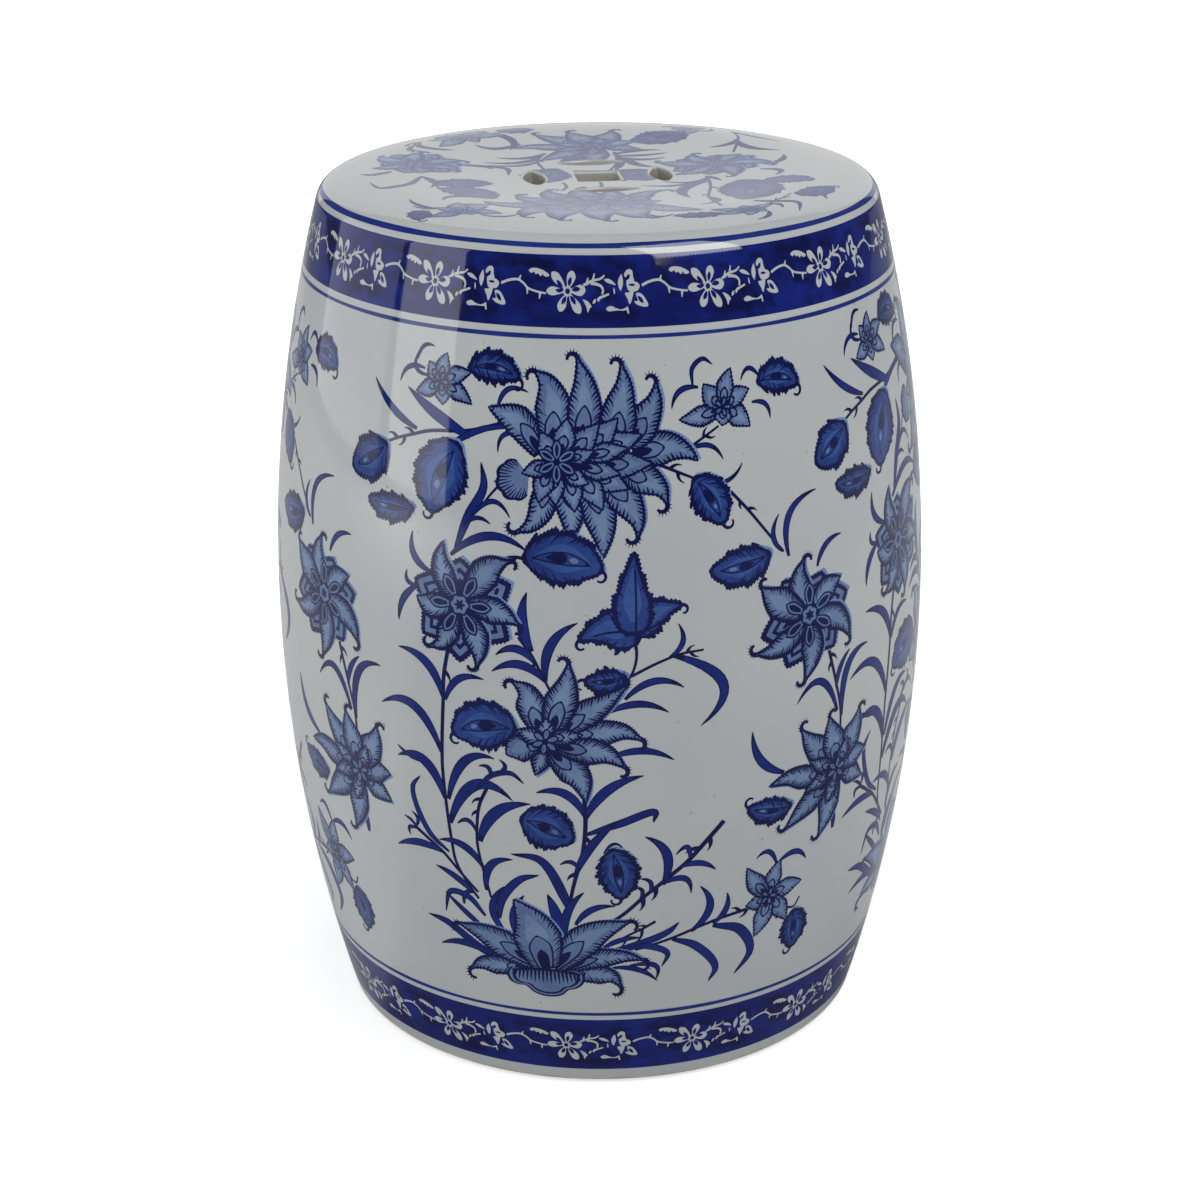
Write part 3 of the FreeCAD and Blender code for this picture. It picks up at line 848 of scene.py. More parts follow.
# A rosette's long petals, and the tips of the short scaly ones between them
rosetteLong = [
    ([(-3, 4), (-9, 14), (-11, 22), (-9.5, 31)], 13, 0.4, 0),
    ([(4, 4), (10, 13), (17, 21), (26, 25)], 16, 0.5, -1),
    ([(5, 1), (14, 0), (24, -3), (31, -7)], 14, 0.45, -1),
    ([(3, -5), (8, -14), (10, -23), (9, -31)], 14, 0.4, -1),
    ([(-3, -5), (-6, -14), (-10, -21), (-17, -24)], 13, 0.4, -1),
    ([(-5, -1), (-14, -2.5), (-24.5, 1)], 14, 0.5, 0),
]
rosetteShort = [(0, 25), (28, 14), (27, -16), (0, -31), (-22, -19), (-27, 10)]
widerLong = [
    ([(-2, 5), (-6, 14), (-6, 23), (-3, 30)], 14, 0.4, -1),
    ([(-5, 2), (-15, 8), (-23, 14), (-29, 20)], 17, 0.5, -1),
    ([(3, 4), (10, 10), (22, 15)], 14, 0.5, 0),
    ([(5, -1), (16, -4), (24, -10), (29, -19)], 14, 0.4, -1),
    ([(0, -6), (2, -15), (1, -25), (-3, -35)], 15, 0.35, -1),
    ([(-4, -4), (-13, -10), (-23, -14), (-33, -14)], 13, 0.4, -1),
]
widerShort = [(-18, 22), (9, 22), (28, 7), (18, -22), (-15, -26), (-31, -6)]
sepalForm = [(0, 0.4), (0.35, 0.85), (0.56, 1), (0.8, 0.56), (1, 0.03)]


def sepal(design, tip):
    # A short petal of nested chevrons
    width = 19
    line = design.even([(tip[0] * share, tip[1] * share) for share in (0.2, 0.96)], 0.8)
    full = formWidth(sepalForm, len(line)) * width * design.size
    design.stroke(line, full, "halo", (1.6, 1.1))
    chevrons = ((1, "line"), (0.89, "petal"), (0.75, "line"), (0.65, "petal"), (0.5, "line"))
    for share, paint in chevrons:
        last = max(4, int(len(line) * share))
        widths = formWidth(sepalForm, last) * width * design.size * share ** 1.6
        design.stroke(line[:last], widths, paint)
    free = slice(int(math.hypot(*tip) * 0.3), -1)
    teethBothSides(design, line, full, free, spacing=2.0, length=3.6, lean=0.6, root=1.7, bump=1.2)


def rosette(design, longPetals, shortTips, turn):
    for tip in shortTips:
        sepal(design, tip)
    strayWash(design, longPetals, (1.2, 0.9))
    disc(design, design.place((0, 0)), 13, "line")
    for points, width, peak, hook in longPetals:
        petal(design, points, width, peak, hook, 2.8, spacing=1.65, loop=0, rim=1.7)
    heart(design, start=4.8, length=12.4, width=7, turn=turn)


# The lilies, and at the end of each entry the share of the petal that its inner loop takes up
lilyLeaning = [
    ([(-1, -5), (-3, -12), (-5.5, -19)], 9, 0.4, 0, 0),
    ([(-3, -2), (-12, -4), (-20, -9)], 14, 0.6, 0, 0.4),
    ([(3, -5), (10, -12), (17, -20), (20, -33)], 14, 0.4, 0, 0.45),
    ([(10, 4), (24, 5), (38, 6), (48, 1)], 12, 0.45, -1, 0.4),
    ([(6, -2), (18, -4), (30, -6), (40, -14)], 13, 0.4, -1, 0.45),
    ([(6, 5), (18, 14), (30, 22), (40, 30)], 13, 0.4, 1, 0.45),
    ([(-2, 5), (-6, 17), (-9, 26), (-16, 31)], 14, 0.45, 1, 0.5),
    ([(3, 5), (7, 18), (11, 31), (12, 42)], 15, 0.42, 1, 0.5),
    ([(-2, 1), (-8, 3), (-14.5, 5.5)], 9, 0.4, 0, 0),
    ([(2, 2), (10, 3), (19, 4.5)], 9, 0.4, 0, 0.5), ([(0, 3), (0.5, 7), (0.5, 13)], 9, 0.4, 0, 0),
]
lilyWide = [
    ([(-8, 2), (-20, 2), (-33, 5), (-46, 3)], 12, 0.4, 0, 0.35),
    ([(-5, -5), (-15, -11), (-25, -18), (-34, -25)], 13, 0.4, -1, 0.4),
    ([(0, -6), (-3, -16), (-5, -26), (-9, -36)], 14, 0.4, -1, 0.45),
    ([(5, -2), (13, -6), (23, -11)], 12, 0.4, 0, 0.4),
    ([(4, 1), (13, 4), (24, 5)], 13, 0.45, 0, 0.4),
    ([(-5, 5), (-13, 14), (-21, 22), (-27, 30)], 14, 0.4, -1, 0.45),
    ([(4, 5), (9, 14), (14, 22), (16, 30)], 15, 0.4, -1, 0.45),
    ([(-1, 6), (-3, 15), (-6, 24), (-8, 32)], 15, 0.4, -1, 0.45),
    ([(-3, 2), (-12, 6), (-21, 11)], 9, 0.4, 0, 0.5),
    ([(-4, -1), (-13, -3), (-23, -7)], 9, 0.4, 0, 0.5),
    ([(0, -3), (-3, -11), (-6, -19)], 9, 0.4, 0, 0.5),
    ([(2, 3), (5, 10), (7, 17)], 9, 0.4, 0, 0.5),
]


def lily(design, petals):
    strayWash(design, petals, (1.2, -0.9))
    disc(design, design.place((0, 0)), 9, "line")
    for points, width, peak, hook, loop in petals:
        petal(design, points, width * 1.1, peak, hook, 3.0, teeth=7.4, spacing=1.65, loop=loop)
    heart(design, start=0.8, length=6.6, width=4.0, turn=80)


# The small stars: the tips of their petals and how wide each is
starUpright = [((2, -11), 9), ((19, -9), 8), ((18, 6), 8), ((-15, -6), 8), ((-8, 9), 8),
               ((3, 14), 8)]
starOpen = [((-24, -4), 9), ((15, -11), 10), ((16, 7), 9), ((-10, 12), 10), ((6, 18), 9),
            ((-1, -9), 9)]
starTall = [((-13, -2), 8), ((5, 19), 9), ((-14, 19), 9), ((20, 3), 9), ((13, -17), 9),
            ((-6, -21), 10)]


def starFlower(design, tips):
    for (x, y), width in tips:
        points = [(x * 0.08, y * 0.08), (x * 0.52 - y * 0.05, y * 0.52 + x * 0.05), (x, y)]
        petal(design, points, width * 1.1, 0.45, teeth=3.6, spacing=1.7, rim=1.0)
    heart(design, start=0.5, length=4.6, width=3.0, lobes=5, turn=70)


def trefoil(design):
    # The bud, with a thin stem drawn up each of its leaves
    leaf(design, (4, -1), (-28, -4), 22, -0.16, 5, 1, 1.2, 2.6, broad=True)
    leaf(design, (-2, 0), (24, 13), 18, 0.12, 4, -1, 1.0, 2.4, broad=True)
    leaf(design, (0, -1), (0, 41), 19, 0.03, 4, 0, 0.8, broad=True)
    stem(design, [(0, -8), (0.5, 12), (0, 32)], 1.1)
    stem(design, [(0, 0), (-9, 1), (-20, -1)], 1.1)
    stem(design, [(0, 0), (9, 3), (17, 9)], 1.1)


lotusPetals = [
    ([(-12, 2), (-26, 1), (-38, 0), (-46, -5)], 12, 0.5, 1, 0.35),
    ([(12, 0), (28, 0), (37, -2), (42, -9)], 12, 0.5, -1, 0.35),
    ([(-6, 5), (-20, 13), (-36, 20), (-50, 23)], 18, 0.4, 1, 0.5),
    ([(10, 3), (25, 9), (44, 11), (55, 8)], 12, 0.45, -1, 0.45),
    ([(4, 3), (14, 14), (28, 26), (46, 33)], 19, 0.45, -1, 0.5),
    ([(0, 2), (-3, 16), (-7, 30), (-16, 44)], 27, 0.42, 0, 0.5),
]


def lotus(design):
    strayWash(design, lotusPetals, (1.2, 0.9))
    for points, width, peak, hook, loop in lotusPetals:
        petal(design, points, width, peak, hook, 3.6, loop=loop, rim=1.4)
    cup = [(-21, 1), (-23.5, -2.5), (-22, -8), (-17, -10), (-13, -10), (-8, -14), (0, -16),
           (8, -14.5), (12, -11), (17, -9.5), (21, -5.5), (21, 0), (18, 2)]
    for shrink, paint in ((1.0, "line"), (0.93, "petal"), (0.86, "line"), (0.78, "petal")):
        design.lay(paint, [design.place((x * shrink, (y + 2) * shrink - 2)) for x, y in
                           smoothLine(cup, 4)])
    for i in range(17):
        share = i / 16 * 2 - 1
        top = np.array((share * 17.5, 1.2 - 1.5 * share ** 2))
        end = top + np.array((share * 1.4, -7.5 + 2.6 * share ** 2 - (i % 2)))
        design.stroke(design.line([top, end], 3), [1.5, 1.3, 0.9, 0.3])
    ridge = design.line([(x, 1.6 - 0.006 * x * x) for x in (-20, -10, 0, 10, 19)], 4)
    design.stroke(ridge, np.full(len(ridge), 1.6))


# The spray: stems and blades first, then leaves, then flowers. Degrees round the drum, height

sprayStems = [
    # points, width, thorns as (share, side, length)
    ([(-25.3, 254.6), (-26.2, 240), (-26.4, 228), (-26.9, 205), (-27.1, 190), (-26.8, 169),
       (-26.3, 148), (-25.8, 136), (-24, 125), (-22, 116)], 1.9, [(0.1, 1, 5)]),
    ([(-19, 183), (-20.6, 172), (-21.2, 162), (-21.4, 148), (-20.6, 133), (-19.6, 118)], 1.7,
       [(0.15, -1, 5), (0.3, -1, 4)]),
    ([(-33.8, 151.6), (-31, 146), (-28.2, 140), (-25.4, 131), (-22, 120)], 1.9, []),
    ([(-16.3, 369), (-22, 364), (-29.8, 361), (-33, 358), (-36, 355), (-38.3, 352)], 1.7, [(0.62,
       -1, 5), (0.74, 1, 5), (0.84, -1, 5)]),
    ([(-13.2, 265), (-11, 256), (-9.5, 247), (-7.5, 234.6)], 1.5, [(0.5, -1, 5)]),
    ([(5.7, 261.5), (5.4, 250), (3.9, 242)], 1.4, []),
    ([(4.9, 246), (9, 252), (13, 256), (16.8, 257)], 1.4, [(0.8, 1, 4), (0.85, -1, 4)]),
    ([(-2.3, 200), (-2.7, 180), (-2.6, 165), (-3.2, 148), (-4.6, 132), (-5.6, 118), (-6.5, 106)],
       2.2, [(0.42, 1, 5), (0.62, -1, 5)]),
    ([(21, 162), (18, 152), (15, 142), (11.5, 133), (7.5, 123), (4, 113), (0, 104)], 2.4, [(0.16,
       1, 6), (0.24, -1, 6), (0.6, 1, 6), (0.7, 1, 6)]),
    ([(26.8, 105.6), (21.6, 103.5), (18.2, 101), (12, 95), (6, 90)], 1.8, [(0.03, 1, 5), (0.08,
       -1, 5)]),
    ([(9.5, 107), (7.5, 103.5), (4.5, 99), (2, 94)], 1.5, [(0.4, 1, 8), (0.3, -1, 3), (0.75, 1,
       5)]),
    ([(41, 242), (42, 232), (43, 222), (44.3, 207), (44.6, 193)], 1.8, [(0.1, 1, 5), (0.2, -1,
       4)]),
    ([(15, 357), (18, 362), (20.4, 366)], 1.3, [(0.5, 1, 4), (0.6, -1, 4)]),
    ([(10, 350), (13, 346), (16, 342)], 1.5, [(0.35, 1, 5), (0.5, -1, 5)]),
    ([(22, 334), (25, 324), (29, 309), (31.5, 300)], 1.5, [(0.35, 1, 4), (0.2, -1, 3)]),
    ([(-12.4, 304.5), (-14, 305), (-16, 303)], 1.6, [(0.4, 1, 5)]),
    ([(-14.2, 345), (-17, 338), (-19.6, 328)], 1.3, [(0.2, 1, 4), (0.3, -1, 4)]),
    ([(33.5, 94), (35, 99), (37.5, 98), (38.6, 103)], 1.4, []),
]
sprayBlades = [
    # tip, by way of, stem, each as x and y, then the width
    (-35, 250, -31, 248, -26.4, 228, 5.2), (-19.1, 241, -22.5, 241, -26, 227, 4),
    (-32.2, 311, -32, 300, -28.3, 292, 4), (-34.8, 264, -33.6, 277, -31, 284, 4),
    (-33.2, 291, -33.2, 286, -31, 284, 2.6), (-39, 217, -35, 222, -27.1, 198, 5.5),
    (-36.1, 190, -33, 193, -26.9, 172, 6), (-17.6, 199, -20.5, 199.5, -26.3, 172, 5.2),
    (-14.7, 176.7, -18.5, 184, -26.3, 158.5, 6.4), (-11.7, 175.8, -15.6, 173.2, -20.9, 150.8, 6.4),
    (-12.7, 187, -14.8, 192, -18, 190, -21, 181, 3.2), (-20.4, 194, -18.8, 194, -18.4, 188, 2.6),
    (-16.8, 199, -15.8, 196, -17.4, 191, 2.4),
    (-31.7, 181.5, -33.4, 174, -30.7, 150, -27, 141, 3.6), (-38, 137, -33.2, 142, -28.2, 140, 4.6),
    (-28.8, 147, -25, 147.5, -20.6, 135.4, 4.6), (-24.9, 159, -23, 162, -21.5, 156.5, 2.8),
    (-15.2, 142.6, -18.4, 140, -20.3, 122, 4.8),
    (-15.5, 146, -10.4, 144, -6.6, 124, -5.8, 116, 5.6),
    (-10.7, 135, -14, 131.5, -17.6, 118, -18.4, 106, 5), (-36, 196, -34.8, 193.5, -31.5, 190, 2.4),
    (-42.4, 381, -39, 371, -32.3, 361, 4), (-34.8, 380, -29, 370, -22, 361, 6),
    (-12, 384, -15.5, 385, -17.4, 374, 2.8), (-17, 355, -16.5, 362, -12.5, 364, 2.6),
    (-27, 340, -25.8, 354, -20, 365, -14, 368, 3.4),
    (-19.9, 349.5, -19.3, 338, -22, 322, -24, 306, 5.2),
    (-11.7, 308, -15.8, 314, -24.9, 302.5, 4.6), (-14.7, 324, -17, 331, -21.4, 322, 2.8),
    (-18, 320, -20, 322.5, -22.6, 318, 2.4), (-11.8, 288, -12.6, 275, -11, 258, 6),
    (-17, 254.8, -14, 259, -10.4, 252, 4.4), (-17.7, 246, -13.4, 251, -8.8, 243, 4.8),
    (-3.6, 273.6, -7, 266, -8.8, 243, 5.2), (13.5, 238.5, 9.9, 243, 3.9, 234, 4),
    (11, 226, 7.3, 231, 1, 227, 4), (12, 200, 7.3, 206, 1.5, 203, 4),
    (16.4, 217, 20.3, 232, 11.5, 256, 5.6), (12.6, 271.6, 13.3, 262, 11.1, 254.8, 3),
    (7, 192.5, 2.5, 188, -2.6, 169, 5.6), (-10.7, 182.5, -7, 184, -2.6, 170, 5),
    (8.7, 166, 9, 171.5, 3, 166, -2.5, 160, 4.6), (3, 168, -1, 156, -4.4, 136, 5),
    (3.6, 152, 2.6, 154.5, 0.4, 149, 1.8), (-7, 142, -5.4, 144, -3.6, 139, 2.6),
    (7.3, 158, 10.6, 150, 10.6, 129, 5.4), (20, 134, 17.5, 139, 13.5, 138.5, 3.6),
    (15.7, 122, 15, 130, 10, 129, 3.6), (12.7, 146, 14.4, 150, 15.2, 141, 3),
    (5.6, 128.5, 6.9, 127, 6.6, 121, 2.4), (6.6, 133.5, 8.3, 131.5, 8.2, 124, 2.6),
    (17.3, 125.4, 19.4, 114, 16.1, 98.3, 5), (22.5, 118.6, 22.7, 110, 20.2, 101, 4),
    (25.7, 65, 28.6, 78, 25.7, 94, 20.2, 100, 6), (20.4, 64, 21.6, 72, 17.1, 89, 12.7, 95, 5),
    (13.8, 105, 12, 100, 5, 92, 0, 88, 4.6), (2.4, 117.5, -1, 116.5, -4.6, 106, 4),
    (7, 97.5, 4, 97, 0, 91, 3.4), (10, 70, 10.4, 76, 5, 80, 3.2), (11, 78, 12, 86, 8, 92, 3, 90, 4),
    (10.3, 69, 7.5, 76, 2, 79, 3.4), (34.2, 218, 37.7, 227, 43.5, 207, 4.2),
    (51.2, 237.5, 48, 236, 44.6, 203, 5), (46.2, 238.5, 44.6, 234, 43, 220, 3.6),
    (25.6, 209, 27.4, 192, 32.2, 182, 5), (38.8, 327, 33.4, 320, 32.5, 297, 4),
    (30.8, 319, 29.6, 308, 31.4, 300, 3), (44.2, 301, 41, 299, 38.4, 288, 3.4),
    (24.3, 347, 23, 342, 16, 340, 2.4), (20.9, 350, 19.4, 356, 14.5, 355.5, 2.6),
    (-33, 99, -29, 97, -22, 84, -17, 80, 5.4), (-31, 82, -27, 86, -20, 81, 4.6),
    (-29, 104, -27.5, 117, -24, 116, -21, 106, 4), (-30, 131, -27, 128, -23, 119, 4.2),
    (-22.4, 119, -24, 119, -25, 111, 3), (-28.6, 116, -26, 109, -21, 97, 3.6),
    (-17, 126, -19.5, 112, -17, 96, 4.6), (-13.5, 122, -15.4, 112, -15.6, 98, 5),
    (-9.4, 124, -8.4, 116, -7.2, 100, 6.5), (-3, 126, -5.6, 116, -6.4, 98, 5),
    (-32.5, 400, -33.5, 390, -30.4, 387, 2.2), (-30, 401, -31.8, 401, -33.2, 394, 2.2),
    (-36.6, 382, -35.6, 388, -31.5, 390, 2.6), (-24, 389, -22.2, 392.5, -19.5, 389, 2.6),
    (19.9, 395, 18.2, 398, 16.2, 394, 16.1, 386, 2.6), (12.3, 376, 13.4, 383, 17.1, 385, 3),
    (30.2, 366, 29.8, 372, 26.8, 375, 2.6), (25, 386, 26.4, 391, 28.8, 386, 2.4),
    (27.8, 135.3, 29.3, 138, 32.2, 128.5, 3), (38.9, 126, 36.5, 132.5, 32.6, 129.6, 3.6),
    (41, 155, 44.5, 147, 44.9, 138, 4.4), (-34.1, 159.5, -32.9, 156, -33.6, 151, 2.4),
    (-35.8, 155.8, -34.6, 154.6, -33.2, 150.4, 2), (-34.8, 145.2, -35, 149, -33, 150, 2.4),
]
sprayLeaves = [
    # base, tip, width, bow, lobes, hook
    ((-38.3, 351), (-46.6, 335), 23, 0.05, 3, 0), ((-23.8, 357), (-28.5, 321), 31, -0.1, 7, -1),
    ((-32, 322.5), (-42.2, 322.5), 14, 0.08, 4, 0),
    ((-23.2, 392.5), (-13.4, 389.5), 15, 0.12, 5, -1), ((28, 383.4), (36.8, 379), 16, 0.14, 5, -1),
    ((15.5, 343), (20.6, 318), 20, 0.06, 5, 1), ((29, 301), (17.8, 296.5), 20, 0.08, 4, 0),
    ((-13.6, 215.5), (-25, 209), 27, -0.12, 6, 1), ((4.2, 246.5), (-2.8, 244.5), 13, 0.1, 4, 1),
    ((-13.7, 167), (-4.6, 155), 25, 0.06, 6, 0), ((1.6, 152), (3.4, 121), 22, 0.04, 6, -1),
    ((34.4, 162), (25.2, 167), 15, 0.1, 4, -1), ((37.3, 96), (38.4, 70), 19, 0.06, 5, -1),
]


def drawGrowth(design, stems, blades, leaves, leafWidth):
    for points, width, thorns in stems:
        stem(design, points, width, thorns)
    for *path, width in blades:
        blade(design, zip(path[::2], path[1::2]), width)
    for base, tip, width, bow, lobes, hook in leaves:
        leaf(design, base, tip, width * leafWidth, bow, lobes, hook)


def drawSpray(design):
    design.at(unit=(mmPerDegree, 1))
    drawGrowth(design, sprayStems, sprayBlades, sprayLeaves, 0.94)
    trefoil(design.at(onDrum(5.6, 268)))
    starFlower(design.at(onDrum(-28.2, 385)), starUpright)
    starFlower(design.at(onDrum(21.3, 374.6)), starOpen)
    starFlower(design.at(onDrum(31.2, 109.8), 0, 1.12), starTall)
    rosette(design.at(onDrum(-23.2, 278)), rosetteLong, rosetteShort, 0)
    rosette(design.at(onDrum(36.6, 264)), widerLong, widerShort, 90)
    lily(design.at(onDrum(-9, 211)), lilyLeaning)
    lily(design.at(onDrum(44.3, 173)), lilyWide)
    greatFlower(design.at(onDrum(-7, 352)))
    leaf(design.at(), onDrum(-12.6, 304), onDrum(0.6, 299), 26, 0.1, 5, -1)
    lotus(design.at(onDrum(-10.2, 75)))
    return design


# The two broad bands: one sprig left white on cobalt, over and over

band = {
    "repeats": 14,
    "top": (414.2, 447.0),
    "topSprig": (-31.25, 430.8),
    "bottom": (10.0, 44.5),
    "bottomSprig": (-33.0, 26.6),
    # in mm: the way from a blossom to its repeat's left border, then the sizes of the mesh
    "toBorder": 36.5,
    "borderStep": 0.9,
    "longest": 3.5,
    "rows": 2.2,
    # from this height up the rows stand closer, because the glaze is bent there
    "shoulder": 438.0,
    "shoulderRise": 0.4,
    # where a repeat's thick cobalt starts, and how far it reaches beyond its strokes
    "deepFrom": 38.0,
    "deepReach": 1.5,
}


def closedLine(points, steps):
    # A smooth closed outline through given points
    given = np.array(points, float)
    ahead = np.roll(given, -1, axis=0)
    slope = (ahead - np.roll(given, 1, axis=0)) / 2
    nextSlope = np.roll(slope, -1, axis=0)
    rows = []
    for t in np.linspace(0, 1, steps, endpoint=False):
        ends = given * (1 + 2 * t) * (1 - t) ** 2 + ahead * t ** 2 * (3 - 2 * t)
        rows.append(ends + slope * t * (1 - t) ** 2 - nextSlope * t ** 2 * (1 - t))
    return np.stack(rows, axis=1).reshape(-1, 2)


def almond(design, start, end, width, paint, peak=0.5, bow=0.0):
    # A pointed form between two spots
    line = bowedLine(design.place(start), design.place(end), bow, 11)
    design.stroke(line, swelling(11, 0.25, width, 0.25, peak), paint)


def branch(design, points, width, thorns=()):
    # A thin branch left white: thorns run from a spot on it to their tip
    line = design.line(points, 5)
    design.stroke(line, np.linspace(width, width * 0.7, len(line)), "reserve")
    for start, end in thorns:
        spine = design.line([start, end], 4)
        design.stroke(spine, np.linspace(1.5, 0.6, len(spine)), "reserve")


sprigPetals = [
    # tip, width, then the blue lens inside: from, to, width
    ((-8.6, 8.2), 5.0, (-5.9, 5.0), (-2.6, 1.7), 2.0),
    ((2.6, 8.8), 5.4, (1.9, 6.4), (0.8, 2.2), 2.1), ((9.4, 0.6), 5.8, (7.0, 0.9), (2.3, 0.5), 2.3),
    ((6.8, -9.6), 5.2, (4.3, -6.0), (1.4, -2.1), 2.2),
    ((-4.2, -8.8), 5.2, (-3.2, -5.8), (-0.9, -2.2), 2.2),
    ((-11.2, 0.0), 4.6, (-6.6, 0.5), (-2.2, 0.5), 1.9),
]
# A sprig petal's outline: shares of its length along it, and of its half width aside
sprigForm = [(0.14, -0.1), (0.45, -0.74), (0.76, -1), (0.95, -0.62), (1.04, 0.05), (0.93, 0.75),
             (0.7, 1), (0.4, 0.66), (0.14, 0.2)]


def sprig(design):
    # One repeat, drawn round the middle of its blossom
    for tip, width, lensTip, lensRoot, lens in sprigPetals:
        tip = np.array(tip)
        side = np.array([-tip[1], tip[0]]) / np.linalg.norm(tip) * width * 0.44
        outline = [tip * far + side * aside for far, aside in sprigForm]
        design.lay("reserve", [design.place(point) for point in closedLine(outline, 4)])
        almond(design, lensRoot, lensTip, lens, "cobalt", 0.5, 0.06)
    disc(design, design.place((0, 0)), 2.3, "reserve", 6, 0.08, 18, 30)
    disc(design, design.place((0, 0)), 1.35, "cobalt", 6, 0.1, 18, 0)

    def flat(points, steps=4, paint="reserve"):
        design.lay(paint, [design.place(point) for point in closedLine(points, steps)])

    # Scalloped bud leaf and the branch that ends under it
    flat([(-22, 8.9), (-20, 10), (-16.6, 9.9), (-13.2, 8.9), (-10.4, 7.2), (-11.2, 6.3),
          (-13.2, 6.5), (-14, 7.4), (-15.2, 6.3), (-16.6, 7.6), (-17.9, 7.2), (-19, 8.3),
          (-20.5, 7.7)], 3)
    branch(design, [(-37.4, 2.4), (-34, 3.7), (-30.7, 4.4), (-27.8, 4.5), (-24.8, 3.1), (-22, 0.9),
                    (-17, -0.5), (-11.8, -1.2)], 1.3,
           [((-27.4, 4.3), (-26.3, 6.6)), ((-22.4, 1.2), (-22.2, -1.8)),
            ((-15, -0.9), (-15.4, -3.8))])
    # Branch to the right of the blossom, with its stem bent down
    branch(design, [(8.6, 2.8), (10.6, 3.5), (13, 4.7), (15.6, 5.2), (18, 5.7), (20.2, 7.2)], 1.3,
           [((10.2, 3.0), (11.2, 6.2)), ((13.8, 4.6), (14.6, 8.2))])
    branch(design, [(12.6, 3.7), (16, 3.2), (18.4, 2.2), (19.3, 0.6), (18.9, -1.4)], 1.5)
    almond(design, (19.9, 5.3), (26.2, 2.8), 1.9, "reserve", 0.35, 0.05)
    # Half blossom
    almond(design, (29.6, 7.6), (29, 0.2), 2.8, "reserve", 0.5, -0.05)
    flat([(31.9, 4.4), (33.8, 5.6), (34.2, 7.2), (33.2, 7.4), (31.7, 6.2), (31, 7.4), (32.2, 9.2),
          (34, 9.8), (35.6, 8.8), (35.9, 6.4), (36.4, 4.3), (34, 4.0)])
    flat([(32.2, 3.9), (35.4, 4.4), (38.2, 3.7), (39.5, 2.2), (38.4, 0.2), (35.4, -0.4),
          (33.2, 0.2)])
    almond(design, (33.4, 2.8), (36.9, 2.6), 1.2, "cobalt")
    flat([(31.2, -1.0), (32.6, -3.6), (33.7, -6.0), (35.0, -3.8), (35.9, -0.3), (33.6, -0.6)])
    flat([(37.2, -1.3), (39.6, -1.1), (41.8, -2.9), (43.9, -6.6), (41.9, -7.4), (38, -6.4),
          (36.2, -4.8), (38.2, -4.4)])
    almond(design, (38.2, -2.3), (41.2, -5.6), 1.9, "cobalt", 0.5)
    # Wavy strip, dart and the small bits between
    flat([(20.9, -7.8), (22.6, -6.7), (24.4, -6.7), (26, -7.5), (29, -8.2), (31.2, -7.6),
          (32.6, -6.9), (32.4, -8.2), (30.4, -8.8), (27.2, -8.7), (24.6, -8.9), (22.2, -9.0)])
    branch(design, [(32.2, -7.4), (32.9, -10.2)], 1.3)
    flat([(8.4, -3.6), (11.2, -4.6), (13.1, -6.8), (12.2, -7.6), (11.0, -9.6), (10.5, -7.6),
          (9.4, -5.4)])
    almond(design, (13.8, -5.6), (15.4, -3.4), 1.5, "reserve")
    branch(design, [(16.4, -4.0), (17.4, -3.0), (19.6, -2.2), (22.6, -1.2)], 1.4,
           [((17.4, -3), (16.5, -4.6))])
    almond(design, (25.2, 1.6), (25.6, -1.4), 0.9, "reserve")


# Where the painter's brush left the cobalt thick: strokes as start, end, width, round the blossom
deepStrokes = [
    ((-30, 12), (-8, 11.5), 3.2), ((-26, 7), (-21, 3), 2.6), ((-21, -2.4), (-9, -5), 3.0),
    ((-18, 5.5), (-9, 4), 2.2), ((9, -10), (16, -2), 3.4), ((17, 3), (22, -4), 3.0),
    ((12, -9.5), (23, -11.5), 3.6), ((25, -3), (33, -12), 3.6), ((33, -9), (39, -10), 3.2),
    ((38.6, 6.5), (44.6, -4), 3.0), ((20, 6.5), (27, 6), 2.2), ((29, 11), (37, 11), 2.2),
    ((3.6, 10.6), (12, 8), 2.6), ((-9.4, 10), (-3, 5.5), 1.9), ((40, -9), (47, -8), 2.6),
]


def deepness(flat, centre, span):
    # How thick the cobalt lies at each point, from 0 to 1
    x = (flat[:, 0] - centre[0] + band["deepFrom"]) % span - band["deepFrom"]
    y = flat[:, 1] - centre[1]
    total = np.zeros(len(flat))
    for (x0, y0), (x1, y1), width in deepStrokes:
        along = ((x - x0) * (x1 - x0) + (y - y0) * (y1 - y0)) / ((x1 - x0) ** 2 + (y1 - y0) ** 2)
        along = along.clip(0, 1)
        away = np.hypot(x - x0 - (x1 - x0) * along, y - y0 - (y1 - y0) * along)
        total = np.maximum(total, 1 - (away / (width * band["deepReach"])).clip(0, 1))
    return total


